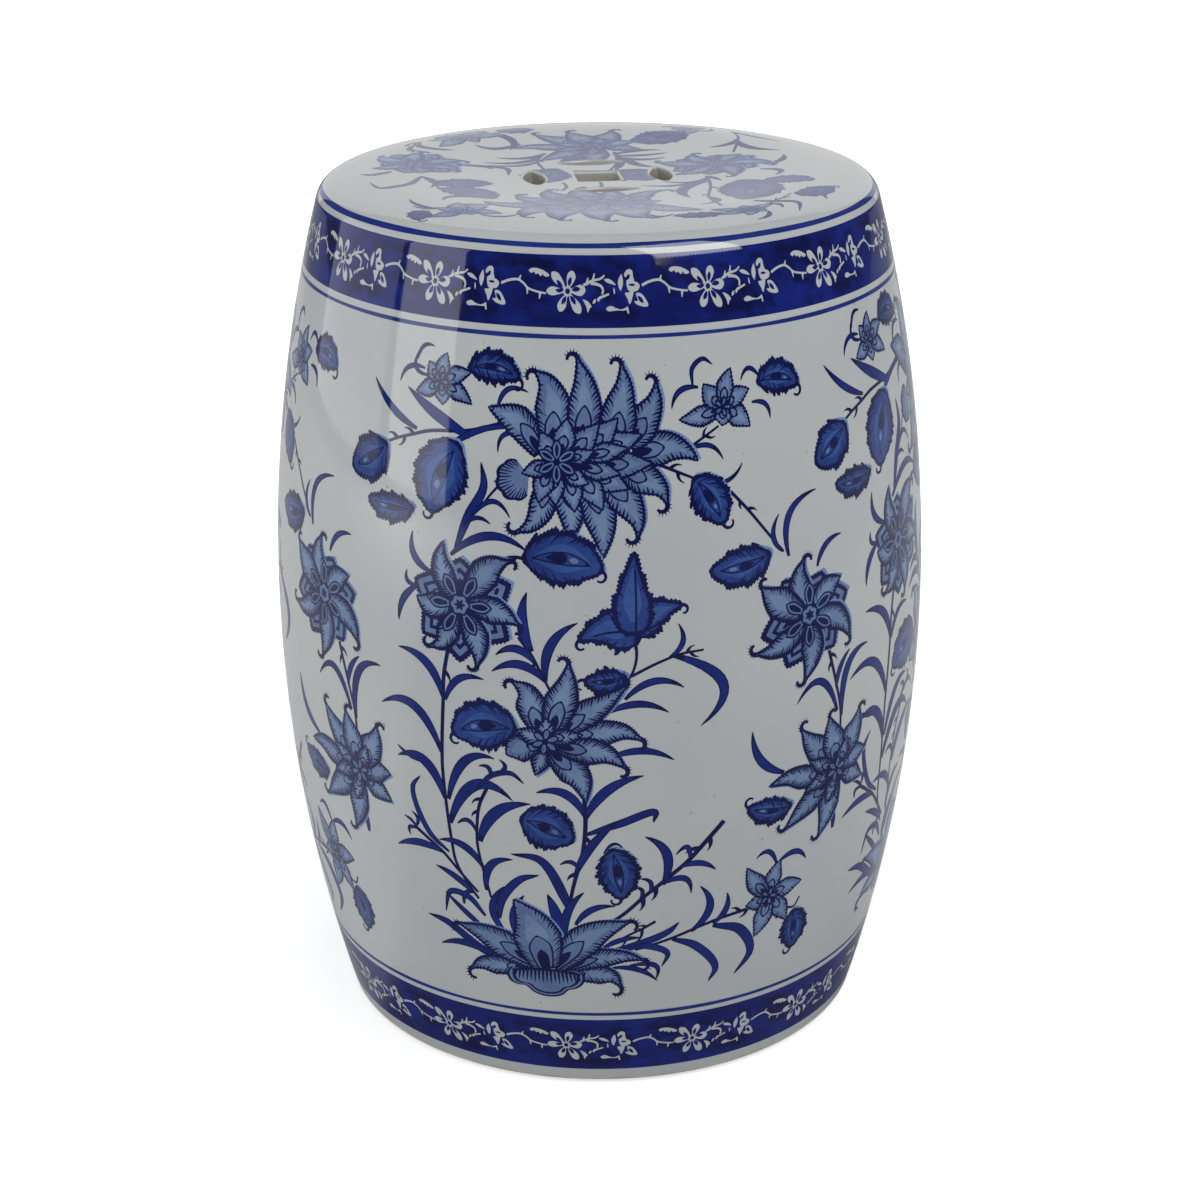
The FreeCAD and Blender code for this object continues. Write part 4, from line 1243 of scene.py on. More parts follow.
def bandTile(low, high, sprigAt):
    # One repeat of a band, from its own left border to the next
    span = 360 / band["repeats"] * mmPerDegree
    middle = (sprigAt[0] * mmPerDegree, sprigAt[1])
    left = middle[0] - band["toBorder"]
    design = Design()
    rise = np.append(np.arange(low, high, band["borderStep"]), high)
    sides = [(left + span, y) for y in rise] + [(left, y) for y in rise[::-1]]
    design.lay("cobalt", sides)
    for shift in (-span, 0, span):
        sprig(design.at((middle[0] + shift, middle[1])))
    extra = gridPoints((left, low), (left + span, high), band["rows"])
    if high > band["shoulder"]:
        extra += gridPoints((left, band["shoulder"]), (left + span, high), band["rows"],
                            band["shoulderRise"])
    corners, parts = cutDrawing(design.shapes, (left, low), (left + span, high), band["longest"],
                                extra)
    triangles = parts["cobalt"]
    middles = corners[triangles].mean(axis=1)
    within = (middles[:, 0] > left) & (middles[:, 0] < left + span)
    within &= (middles[:, 1] > low) & (middles[:, 1] < high)
    return corners, triangles[within], middle, span


def fullTurn(corners, triangles, span, repeats):
    # The same tile laid side by side right round the drum
    used, index = np.unique(triangles, return_inverse=True)
    tile = corners[used]
    index = index.reshape(-1, 3)
    points = [tile + np.array([span * i, 0]) for i in range(repeats)]
    faces = [index + len(tile) * i for i in range(repeats)]
    return np.vstack(points), np.vstack(faces)


# The seat's painting, in mm on its plan: x to the photograph's right, y away from it

seatBlades = [
    # tip, by way of, stem, each as x and y, then the width
    (-104, 62, -108, 70, -100, 76, 4), (-76, 53, -92, 56, -100, 76, 4.6),
    (-92, 46, -100, 50, -100, 66, 4), (-128, -9, -118, -12, -106, -4, 4.5),
    (-120, -30, -112, -44, -97, -36, -90, -12, 4.2), (-84, -38, -82, -26, -90, -12, 4),
    (-47, 58, -48, 82, -70, 96, 5.6), (-66, 66, -58, 60, -42, 72, 5),
    (-54, 40, -40, 40, -28, 52, 4.4), (-60, 28, -42, 30, -30, 46, 4.4),
    (-57, 22, -40, 24, -30, 38, 3.6), (-46, 0, -48, 16, -64, 20, -76, 20, 4.6),
    (34, 58, 22, 58, 8, 50, 4.4), (37, 52, 26, 48, 9, 48, 4), (36, 42, 24, 38, 10, 46, 4.4),
    (30, 20, 20, 28, 16, 42, 6), (9, 14, 12, 32, 10, 50, 5.4), (97, 45, 82, 54, 75, 74, 5.2),
    (60, 60, 70, 64, 76, 74, 4.4), (104, 74, 90, 84, 79, 102, 5), (98, 34, 96, 22, 87, 14, 4.4),
    (91, -12, 94, -2, 84, 4, 4), (46, -60, 42, -44, 56, -18, 6.6), (22, -24, 42, -26, 57, -8, 4.4),
    (33, -14, 46, -20, 56, -10, 3.4), (63, -18, 60, -12, 57, -6, 3.4),
    (108, -100, 104, -82, 86, -78, 76, -76, 4.4), (124, -73, 119, -60, 117, -52, 3.4),
    (50, -80, 58, -74, 55, -60, 4), (-76, -70, -74, -62, -56, -60, 4.4),
    (-50, -80, -66, -82, -72, -90, 4), (-94, -70, -92, -82, -80, -92, 4.4),
    (-95, -87, -88, -92, -80, -92, 3.4), (-38, -102, -48, -110, -58, -106, 3.4),
    (36, -104, 30, -110, 24, -104, 3.6), (96, -94, 92, -86, 84, -84, 3.4),
    (84, -120, 89, -114, 88, -102, 3.6), (36, 110, 40, 116, 50, 112, 3.2),
    (66, 114, 62, 100, 50, 100, 3.4),
]
seatStems = [
    ([(-103, 74), (-101, 60), (-98, 44)], 1.8, [(0.3, 1, 4)]),
    ([(-90, -12), (-84, -26), (-79, -42)], 1.6, [(0.5, 1, 4)]),
    ([(-96, 92), (-84, 92), (-66, 92), (-52, 96)], 1.6, [(0.7, -1, 5)]),
    ([(-68, 22), (-60, 18), (-50, 20)], 1.8, [(0.3, 1, 4), (0.6, -1, 4)]),
    ([(-30, 50), (-32, 34), (-27, 12), (-24, -2)], 1.8, [(0.3, 1, 4)]),
    ([(9, 56), (11, 40), (8, 20), (4, 8)], 1.8, [(0.4, -1, 4)]),
    ([(78, 104), (76, 74), (72, 46)], 1.8, [(0.2, 1, 4)]),
    ([(56, -6), (57, -30), (55, -62), (60, -86)], 1.7, [(0.4, 1, 5), (0.6, -1, 4)]),
    ([(85, -84), (92, -70), (96, -60)], 1.5, [(0.4, 1, 5), (0.6, -1, 5)]),
    ([(46, 112), (46, 104), (44, 96)], 1.6, [(0.3, 1, 4)]),
    ([(-2, -36), (2, -22), (1, -14)], 2.0, []), ([(-18, -36), (-16, -24), (-18, -16)], 1.8, []),
]
seatLeaves = [
    # base, tip, width, bow, lobes, hook
    ((-36, 104), (-57, 108), 16, 0.12, 4, 0), ((46, 97), (17, 78), 25, 0.1, 6, 0),
    ((72, -20), (71, -72), 30, 0.1, 7, 0), ((83, -27), (110, -30), 15, 0.12, 5, 0),
    ((98, -60), (126, -44), 20, -0.14, 5, -1), ((-54, -24), (-82, -32), 19, -0.14, 5, 0),
    ((-80, -40), (-52, -62), 20, 0.14, 6, 0), ((-18, 42), (-8, 28), 16, 0.1, 4, 0),
    ((-26, -16), (-22, 18), 24, 0.08, 6, 0), ((26, -12), (10, 14), 24, -0.1, 6, 0),
    ((62, -105), (36, -107), 13, 0.1, 4, 0), ((-88, -98), (-96, -117), 13, -0.1, 4, 1),
    ((-84, 100), (-90, 76), 15, 0.12, 4, 0), ((-62, 100), (-78, 104), 11, 0.1, 3, 0),
]
# place, turn, size
seatStars = [((-66, -97), 24, 1.1), ((76, -97), 200, 1.05), ((-74, 84), 120, 1.15),
             ((52, 108), 70, 0.8)]


def drawSeat(design):
    design.at()
    drawGrowth(design, seatStems, seatBlades, seatLeaves, 1)
    for i, (place, turn, size) in enumerate(seatStars):
        starFlower(design.at(place, turn, size), (starOpen, starUpright, starTall)[i % 3])
    rosette(design.at((-95, 17), 100, 0.86), rosetteLong, rosetteShort, 0)
    rosette(design.at((62, 22), 20, 0.88), widerLong, widerShort, 90)
    lily(design.at((-2, 68), 12, 1.0), lilyWide)
    greatFlower(design.at((14, -72), 180, 0.98))
    return design


# Finishes. A wire is one socket of a shader: sums written with it add the nodes they need

class Wire:
    def __init__(self, finish, socket):
        self.finish = finish
        self.socket = socket

    def maths(self, operation, first, second):
        return self.finish.node("ShaderNodeMath", {"operation": operation}, {0: first, 1: second})

    def __add__(self, other):
        return self.maths("ADD", self, other)

    def __sub__(self, other):
        return self.maths("SUBTRACT", self, other)

    def __mul__(self, other):
        return self.maths("MULTIPLY", self, other)


class Finish:
    def __init__(self, name, owners=bpy.data.materials):
        self.material = owners.new(name)
        self.material.use_nodes = True
        self.tree = self.material.node_tree
        self.tree.nodes.clear()
        self.place = self.node("ShaderNodeTexCoord", {}, {}, 3)

    def node(self, kind, settings, sockets, output=0):
        # Any node: its settings first, then the values or wires of its sockets
        node = self.tree.nodes.new(kind)
        for key, value in settings.items():
            setattr(node, key, value)
        for key, value in sockets.items():
            if isinstance(value, Wire):
                self.tree.links.new(value.socket, node.inputs[key])
            else:
                node.inputs[key].default_value = value
        return Wire(self, node.outputs[output]) if node.outputs else node

    def noise(self, scale, detail=2.0, roughness=0.5, stretch=None):
        place = self.place if stretch is None else self.node(
            "ShaderNodeMapping", {}, {"Vector": self.place, "Scale": stretch})
        return self.node("ShaderNodeTexNoise", {}, {"Vector": place, "Scale": scale,
                                                    "Detail": detail, "Roughness": roughness})

    def band(self, value, low, high, fromLow=0.0, fromHigh=1.0):
        # The value's range, moved smoothly on to another
        return self.node("ShaderNodeMapRange", {"interpolation_type": "SMOOTHSTEP"},
                         {"Value": value, "From Min": low, "From Max": high,
                          "To Min": fromLow, "To Max": fromHigh})

    def patches(self, scale, low, high, detail=2.0, roughness=0.5, stretch=None):
        # Soft patches of noise, from 0 below low to 1 above high
        return self.band(self.noise(scale, detail, roughness, stretch), low, high)

    def mix(self, factor, first, second):
        # Between two wires or colours
        first, second = (c if isinstance(c, Wire) else shade(c) for c in (first, second))
        sockets = {0: factor, 6: first, 7: second}
        return self.node("ShaderNodeMix", {"data_type": "RGBA"}, sockets, 2)

    def bump(self, height, distance, strength=1.0, **under):
        sockets = {"Strength": strength, "Distance": distance, "Height": height}
        return self.node("ShaderNodeBump", {}, {**sockets, **under})

    def close(self, base, rough, normal, **others):
        sockets = {"Base Color": base, "Roughness": rough, "Normal": normal}
        shader = self.node("ShaderNodeBsdfPrincipled", {}, {**sockets, **others})
        self.node("ShaderNodeOutputMaterial", {}, {"Surface": shader})
        return self.material


def shade(colour):
    # A colour as it is seen on a screen, 0 to 255, as the renderer wants it
    parts = [c / 255 for c in colour]
    return tuple(c / 12.92 if c <= 0.04045 else ((c + 0.055) / 1.055) ** 2.4 for c in parts) + (1,)


glaze = {
    "gloss": 0.04,
    "glossSpread": 0.045,
    "wave": 0.00022,
    "waveScale": 16.0,
    "peel": 0.000012,
    "peelScale": 260.0,
}
colours = {
    "white": (193, 197, 196),
    "whiteCool": (188, 192, 194),
    "whiteWarm": (196, 197, 193),
    "speck": (120, 112, 100),
    "cobalt": (21, 36, 122),
    "cobaltDragged": (12, 23, 92),
    "cobaltPooled": (9, 17, 72),
    "cobaltThick": (6, 11, 56),
    "inside": (205, 203, 194),
    "insideDull": (182, 176, 162),
    "clay": (203, 199, 191),
    "clayDark": (186, 179, 168),
    "sand": (150, 138, 124),
    "rubber": (96, 96, 94),
    "rubberDusty": (126, 124, 118),
}


def glazed(finish, base):
    # The glaze itself: almost mirror smooth, with slow waves and the faintest orange peel
    wave = finish.noise(glaze["waveScale"], 1.0, 0.4)
    peel = finish.noise(glaze["peelScale"], 1.0)
    slow = finish.bump(wave, glaze["wave"])
    fine = finish.bump(peel, glaze["peel"], Normal=slow)
    rough = finish.band(finish.noise(42.0, 3.0), 0.35, 0.75, glaze["gloss"],
                        glaze["gloss"] + glaze["glossSpread"])
    return finish.close(base, rough, fine, IOR=1.5)


def makeWhiteGlaze():
    finish = Finish("white_glaze")
    cool = finish.patches(7.0, 0.3, 0.7)
    warm = finish.patches(19.0, 0.5, 0.8, detail=3.0)
    specks = finish.patches(420.0, 0.84, 0.9, detail=0.0)
    base = finish.mix(cool, colours["white"], colours["whiteCool"])
    base = finish.mix(warm * 0.6, base, colours["whiteWarm"])
    return glazed(finish, finish.mix(specks * 0.5, base, colours["speck"]))


def makePaint(name, thin, thick, scale):
    # Cobalt under the glaze: it pools in some places and thins out in others
    streaks = 0.3
    finish = Finish(name)
    cloud = finish.patches(scale, 0.32, 0.72, 4.0, 0.6)
    grain = finish.patches(scale * 9, 0.3, 0.8, 2.0, 0.6)
    amount = cloud * (1 - streaks) + grain * streaks
    return glazed(finish, finish.mix(amount, thin, thick))


def makeCobalt():
    # The broad bands: brushed cobalt with dark pools and lighter drags of the brush
    finish = Finish("band_cobalt")
    drag = finish.patches(30.0, 0.34, 0.7, 4.0, 0.55, stretch=(1, 1, 3.2))
    pool = finish.patches(75.0, 0.5, 0.72, 3.0, 0.6)
    deep = finish.node("ShaderNodeAttribute", {"attribute_name": "deep"}, {}, 2)
    edge = finish.band(deep * 0.8 + finish.noise(75.0, 3.0, 0.6) * 1.3 - 0.65, 0.05, 0.95)
    base = finish.mix(drag, colours["cobalt"], colours["cobaltDragged"])
    base = finish.mix(pool * 0.7, base, colours["cobaltPooled"])
    return glazed(finish, finish.mix(edge * 0.85, base, colours["cobaltThick"]))


def makeInnerGlaze():
    # Inside, the glaze is thin and dull over the clay
    finish = Finish("inner_glaze")
    patch = finish.patches(24.0, 0.35, 0.7, 4.0, 0.6)
    base = finish.mix(patch, colours["inside"], colours["insideDull"])
    normal = finish.bump(finish.noise(300.0, 3.0, 0.6), distance=0.0002, strength=0.6)
    return finish.close(base, finish.band(patch, 0.0, 1.0, 0.28, 0.6), normal)


def makeBareClay():
    # The foot is wiped clean of glaze: fired stoneware with a fine sandy grain
    finish = Finish("bare_clay")
    sand = finish.noise(900.0, 3.0, 0.7)
    tone = finish.patches(50.0, 0.3, 0.7, 4.0, 0.6)
    base = finish.mix(tone, colours["clay"], colours["clayDark"])
    base = finish.mix(finish.band(sand, 0.62, 0.75), base, colours["sand"])
    return finish.close(base, 0.85, finish.bump(sand, distance=0.00025, strength=0.7))


def makePadRubber():
    finish = Finish("pad_rubber")
    grain = finish.noise(1400.0, 2.0, 0.6)
    dust = finish.patches(260.0, 0.45, 0.75, detail=3.0)
    base = finish.mix(dust, colours["rubber"], colours["rubberDusty"])
    return finish.close(base, 0.7, finish.bump(grain, distance=0.0001, strength=0.5))


whiteGlaze = makeWhiteGlaze()
innerGlaze = makeInnerGlaze()
bareClay = makeBareClay()
cobalt = makeCobalt()
washes = {
    # the material, its colour where it runs thin, where it pools, and how fine the pools are
    "line": ("outline_blue", (15, 22, 82), (8, 13, 58), 45.0),
    "ring": ("ring_blue", (36, 54, 134), (24, 38, 108), 45.0),
    "petal": ("petal_wash", (106, 129, 167), (78, 99, 146), 45.0),
    "pale": ("petal_wash_thin", (124, 147, 180), (96, 118, 158), 45.0),
    "leaf": ("leaf_wash", (44, 72, 140), (26, 48, 112), 45.0),
    "paler": ("leaf_wash_thin", (60, 92, 158), (38, 66, 130), 45.0),
    "blade": ("blade_blue", (23, 44, 126), (12, 27, 98), 50.0),
    "halo": ("stray_wash", (122, 146, 192), (92, 120, 176), 40.0),
}
paints = {paint: makePaint(*wash) for paint, wash in washes.items()}
print("finishes ready")


# The glazed clay. Each mesh stands for one clay section, and their faces meet unseen

def finishPiece(piece, *nodes):
    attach(piece, "root")
    if nodes:
        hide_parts(*nodes)


ridgeNose = (drum["bellyRadius"] - drum["wall"] - drum["ridgeHeight"], drum["bellyHeight"])


def ridge(above):
    # The luting ridge inside the widest line, one half of it in each wall
    nose = ridgeNose[0]
    root = drum["bellyRadius"] - drum["wall"] * 3 / 4
    rise = root - nose
    radius = (drum["ridgeHalf"] ** 2 + rise ** 2) / (2 * rise)
    centre = (nose + radius, drum["bellyHeight"])
    # The arc meets the wall's inner face where both are at the same radius
    reach = math.sqrt(radius ** 2 - (nose + radius - (drum["bellyRadius"] - drum["wall"])) ** 2)
    turn = math.asin(reach / radius)
    ends = (math.pi - turn, math.pi) if above else (math.pi, math.pi + turn)
    meet = drum["bellyHeight"] + (reach if above else -reach)
    return arcStretch(centre, radius, *ends, 1.5), meet


def makeWall(node, low, high, hasRidgeBelow):
    bump, meet = ridge(hasRidgeBelow)
    outerLow, outerHigh = flankPoint(outerRadius, low), flankPoint(outerRadius, high)
    innerLow, innerHigh = flankPoint(innerRadius, low), flankPoint(innerRadius, high)
    if hasRidgeBelow:
        runs = [outside(low, high), lineStretch(outerHigh, innerHigh), inside(high, meet), bump,
                lineStretch(ridgeNose, outerLow)]
    else:
        runs = [outside(low, high), lineStretch(outerHigh, ridgeNose), bump, inside(meet, low),
                lineStretch(innerLow, outerLow)]
    draft = MeshDraft()
    addTurned(draft, runs, (0, 1, 1, 1, 1))
    draft.build("glazed_" + node, [whiteGlaze, innerGlaze], node)


makeWall("upper_wall", drum["bellyHeight"], drum["skirtHeight"], True)
makeWall("lower_wall", drum["footHeight"], drum["bellyHeight"], False)
print("walls made")

foot = {
    "edgeRadius": 3.0,
    "flat": 13.0,
    "rimRadius": 1.5,
    "recess": 4.0,
    "reach": 18.0,
    "flange": 8.0,
    "noseRadius": 3.0,
    "cornerRadius": 7.0,
    "glazeLine": 4.2,
    "slopeHeight": 6.0,
}


def roundedCorner(before, corner, after, radius, step=0.6):
    # A corner between two straight runs, rounded off
    a = (Vector(before) - Vector(corner)).normalized()
    b = (Vector(after) - Vector(corner)).normalized()
    half = a.angle(b) / 2
    reach = radius / math.tan(half)
    middle = Vector(corner) + (a + b).normalized() * radius / math.sin(half)
    start, end = Vector(corner) + a * reach, Vector(corner) + b * reach
    first, last = angleTo(middle, start), angleTo(middle, end)
    if last - first > math.pi:
        last -= 2 * math.pi
    if first - last > math.pi:
        last += 2 * math.pi
    return arcStretch(middle, radius, first, last, step, 1 if last > first else -1)


def makeFoot():
    low, high = drum["footLow"], drum["footHeight"]
    outerLow = flankPoint(outerRadius, low)
    rimIn = outerLow[0] - foot["edgeRadius"] - foot["flat"]
    openIn = rimIn - foot["reach"]
    under, upper = low + foot["recess"], low + foot["recess"] + foot["flange"]
    innerUp = flankPoint(innerRadius, upper)
    slope = flankPoint(outerRadius, low + foot["slopeHeight"])
    edge = roundedCorner((rimIn, low), outerLow, slope, foot["edgeRadius"])
    corner = roundedCorner(flankPoint(innerRadius, high), innerUp, (openIn, upper),
                           foot["cornerRadius"], 1.0)
    nose = roundedCorner((rimIn, under), (openIn, under), (openIn, upper), foot["noseRadius"])
    brow = roundedCorner((openIn, under), (openIn, upper), innerUp, foot["noseRadius"])
    rim = roundedCorner((rimIn, under), (rimIn, low), outerLow, foot["rimRadius"])
    # From the outer edge up the flank, over the joint and down inside, then round the flange
    runs = [outside(edge[-1][1], foot["glazeLine"]), outside(foot["glazeLine"], high),
            lineStretch(flankPoint(outerRadius, high), flankPoint(innerRadius, high)),
            inside(high, corner[0][1]), corner, lineStretch(corner[-1][:2], brow[-1][:2]),
            brow[::-1], lineStretch(brow[0][:2], nose[-1][:2]), nose[::-1],
            lineStretch(nose[0][:2], (rimIn, under)), lineStretch((rimIn, under), rim[0][:2]), rim,
            lineStretch(rim[-1][:2], edge[0][:2]), edge]
    draft = MeshDraft()
    addTurned(draft, runs, (1, 0) + (2,) * 5 + (1,) * 7)
    draft.build("glazed_foot_ring", [whiteGlaze, bareClay, innerGlaze], "foot_ring")


makeFoot()
print("foot made")


# Seat: the turned part outside, and a pierced middle whose holes have softened edges

def arcLoop(centre, radius, start, end, count):
    a = np.linspace(start, end, count)
    out = np.stack([np.cos(a), np.sin(a)], axis=1)
    return np.hstack([np.array(centre) + radius * out, out])


def squareLoop():
    half = seat["square"] / 2 - seat["holeCorner"]
    runs = []
    for i, (x, y) in enumerate(((1, 1), (-1, 1), (-1, -1), (1, -1))):
        start = i * math.pi / 2
        runs.append(arcLoop((x * half, y * half), seat["holeCorner"], start,
                            start + math.pi / 2, 6))
    return np.vstack(runs)


def lensLoop(turn):
    halfLong, halfWide = seat["lensLength"] / 2, seat["lensWidth"] / 2
    radius = (halfLong ** 2 + halfWide ** 2) / (2 * halfWide)
    back = radius - halfWide
    tip = math.sqrt((radius - seat["holeCorner"]) ** 2 - back ** 2)
    swing = math.atan2(tip, back)
    middle = seat["lensOffset"]
    runs = [arcLoop((middle - back, 0), radius, -swing, swing, 15),
            arcLoop((middle, tip), seat["holeCorner"], swing, math.pi - swing, 7),
            arcLoop((middle + back, 0), radius, math.pi - swing, math.pi + swing, 15),
            arcLoop((middle, -tip), seat["holeCorner"], math.pi + swing, 2 * math.pi - swing, 7)]
    loop = np.vstack(runs)
    turned = rotation(-turn)
    return np.hstack([loop[:, :2] @ turned, loop[:, 2:] @ turned])


def tidyLoop(loop):
    # Drop points that fall on their neighbour, and split the long straight runs
    loop = loop[lengths(loop[:, :2] - np.roll(loop[:, :2], 1, axis=0)) > 1e-6]
    rows = []
    for a, b in zip(loop, np.roll(loop, -1, axis=0)):
        count = max(1, math.ceil(math.dist(a[:2], b[:2]) / seat["holeStep"]))
        rows.extend(a + (b - a) * i / count for i in range(count))
    return np.array(rows)


holes = [tidyLoop(squareLoop())] + [tidyLoop(lensLoop(i * math.pi / 2)) for i in range(4)]


def topHeight(flat):
    # Height and normal of the seat's upper face over points on its plan
    r = lengths(flat)
    z, outR, outZ = (np.interp(r, topPart[:, 0], topPart[:, k]) for k in (1, 2, 3))
    away = flat / np.maximum(r, 1e-9)[:, None]
    normals = np.stack([away[:, 0] * outR, away[:, 1] * outR, outZ], axis=1)
    return z, normals / lengths(normals)[:, None]


def planUv(flat, side):
    # The upper face lies in one half of the texture, the lower face in the other
    wide = seat["planWidth"]
    return np.stack([0.25 + 0.5 * side + flat[:, 0] / wide, 0.5 + flat[:, 1] / wide], axis=1)


def addPlate(draft, ringPoints, offset, upper):
    # The flat part round the holes, between them and the turned part
    loops = [hole[:, :2] + hole[:, 2:] * offset for hole in holes]
    ring = np.array([draft.points[i] for i in ringPoints])[:, :2]
    middle = seat["middleRadius"]
    inner = [p for p in gridPoints((-middle, -middle), (middle, middle), seat["grid"])
             if math.hypot(*p) < middle - 2 and min(lengths(loop - p).min() for loop in loops) > 1]
    # No side here is so long that it would be split
    corners, triangles = triangulate([ring] + loops, inner, middle)
    middles = corners[triangles].mean(axis=1)
    keep = insideOf(middles, ring)
    for loop in loops:
        keep &= ~insideOf(middles, loop)
    if upper:
        z, normals = topHeight(corners)
    else:
        z = np.full(len(corners), underZ)
        normals = np.tile((0.0, 0.0, -1.0), (len(corners), 1))
    # Points that stand on the ring or on a hole's edge are shared with what is there
    place = {}
    for i in ringPoints:
        place[tuple(np.round(draft.points[i][:2], 4))] = i
    edges = []
    for loop in loops:
        height = topHeight(loop)[0] if upper else np.full(len(loop), underZ)
        first = draft.addPoints(np.hstack([loop, height[:, None]]))
        edges.append(first)
        for i, p in enumerate(loop):
            place[tuple(np.round(p, 4))] = first + i
    index = []
    for p, height in zip(corners, z):
        key = tuple(np.round(p, 4))
        if key not in place:
            place[key] = draft.addPoints([(p[0], p[1], height)])
        index.append(place[key])
    uvs = planUv(corners, 0 if upper else 1)
    for triangle in triangles[keep]:
        order = triangle if upper else triangle[::-1]
        draft.addFace(tuple(index[i] for i in order), [tuple(normals[i]) for i in order],
                      [tuple(uvs[i]) for i in order], 0 if upper else 1)
    return edges


def addHoleWall(draft, hole, topFirst, lowFirst):
    # From the upper face round the softened edge and down to the lower face
    count = len(hole)
    steps = 5
    up = topHeight(hole[:, :2] + hole[:, 2:] * seat["holeEdge"])
    rows = [np.arange(topFirst, topFirst + count)]
    tilts = [0.0]
    for i in range(1, steps + 1):
        a = i / steps * math.pi / 2
        flat = hole[:, :2] + hole[:, 2:] * seat["holeEdge"] * (1 - math.sin(a))
        z = topHeight(flat)[0] - seat["holeEdge"] * (1 - math.cos(a))
        first = draft.addPoints(np.hstack([flat, z[:, None]]))
        rows.append(np.arange(first, first + count))
        tilts.append(a)
    rows.append(np.arange(lowFirst, lowFirst + count))
    tilts.append(math.pi / 2)
    inward = np.hstack([-hole[:, 2:], np.zeros((count, 1))])
    for k in range(len(rows) - 1):
        normals = [up[1] * math.cos(t) + inward * math.sin(t) for t in (tilts[k], tilts[k + 1])]
        v0, v1 = (seat["holeV"] + row * seat["holeRowV"] for row in (k, k + 1))
        for i in range(count):
            j = (i + 1) % count
            u0, u1 = i / count, (i + 1) / count
            draft.addFace((rows[k][i], rows[k][j], rows[k + 1][j], rows[k + 1][i]),
                          [tuple(normals[0][i]), tuple(normals[0][j]), tuple(normals[1][j]),
                           tuple(normals[1][i])],
                          ((u0, v0), (u1, v0), (u1, v1), (u0, v1)), 0 if k < steps else 1)


def makeSeat():
    cornerZ = underZ - seat["cornerRadius"]
    cornerRadius = innerRadius - seat["cornerRadius"]
    cornerCentre = flankPoint(cornerRadius, cornerZ)
    cornerStart = towards(flankCentre, cornerCentre, innerRadius)
    corner = arcStretch(cornerCentre, seat["cornerRadius"],
                        angleTo(cornerCentre, cornerStart), math.pi / 2, 1.0, -1)
    outerJoint = flankPoint(outerRadius, drum["skirtHeight"])
    innerJoint = flankPoint(innerRadius, drum["skirtHeight"])
    under = lineStretch((seat["middleRadius"], underZ), corner[-1][:2])
    inner = inside(drum["skirtHeight"], cornerStart[1])
    # Upwards inside, so that the section runs on from the lower face to the upper one
    runs = [under, corner[::-1], inner[::-1], lineStretch(innerJoint, outerJoint)]
    runs += seatOutside(seat["middleRadius"])
    draft = MeshDraft()
    addTurned(draft, runs, (1,) * 4 + (0,) * 4, (0, 0, 1, seat["turnedV"]), False)
    facets, total = drum["facets"], len(draft.points)
    topEdges = addPlate(draft, range(total - facets, total), seat["holeEdge"], True)
    lowEdges = addPlate(draft, range(facets), 0.0, False)
    for hole, topFirst, lowFirst in zip(holes, topEdges, lowEdges):
        addHoleWall(draft, hole, topFirst, lowFirst)
    draft.build("glazed_seat", [whiteGlaze, innerGlaze], "seat_top")


makeSeat()
print("seat made")

padRubber = makePadRubber()
for i in range(1, 5):
    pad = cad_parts[f"floor_pad_{i}"]
    pad.data.materials.clear()
    pad.data.materials.append(padRubber)


# Painting. Each piece is a thin mesh that lies on the glaze, at the same lift everywhere

painting = {
    "lift": 0.05,
    "turns": (0.0, 85.5, 178.0, 269.8),
    "raise": (0.0, 4.0, 1.0, -1.0),
    "low": (-58, 50),
    "high": (60, 415),
    "longest": 5.0,
    "lines": ((449.8, 451.9), (409.1, 411.0), (47.4, 49.5)),
    "lineRow": 0.6,
    "wobble": 0.12,
    "wobbleWaves": (5, 13),
    "seatRadius": 128.0,
    # beside the square hole, on its far side and on its right
    "squareEdges": ([(-13, 12), (13, 12), (13, 14), (-13, 14)],
                    [(12, -12), (15, -12), (15, 14), (12, 14)]),
    "seatEven": 112.0,
    "seatPress": 0.6,
}
kinds = {"outlines": ("line",), "petals": ("petal", "pale", "halo"),
         "leaves": ("leaf", "paler", "blade")}


def onSide(flat):
    return wrapDrum(flat, painting["lift"])


def paintSprays():
    design = drawSpray(Design())
    low = onDrum(*painting["low"])
    high = onDrum(*painting["high"])
    corners, parts = cutDrawing(design.shapes, low, high, painting["longest"])
    print("spray cut:", {paint: len(triangles) for paint, triangles in parts.items()})
    for number, (turn, rise) in enumerate(zip(painting["turns"], painting["raise"]), 1):
        shift = np.array([turn * mmPerDegree, rise])
        window = (np.array(low) + shift, np.array(high) + shift)
        for kind, names in kinds.items():
            groups = [(parts[name], paints[name]) for name in names]
            paintPiece(f"spray_{number}_{kind}", corners + shift, groups, onSide, window)


def paintBand(name, low, high, sprigAt):
    corners, triangles, middle, span = bandTile(low, high, sprigAt)
    corners, triangles = fullTurn(corners, triangles, span, band["repeats"])
    left = corners[:, 0].min()
    window = ((left, low), (left + span * band["repeats"], high))
    piece = paintPiece(name, corners, [(triangles, cobalt)], onSide, window)
    deep = piece.data.attributes.new("deep", "FLOAT", "POINT")
    used = np.unique(triangles)
    deep.data.foreach_set("value", deepness(corners[used], middle, span).astype(np.float32))


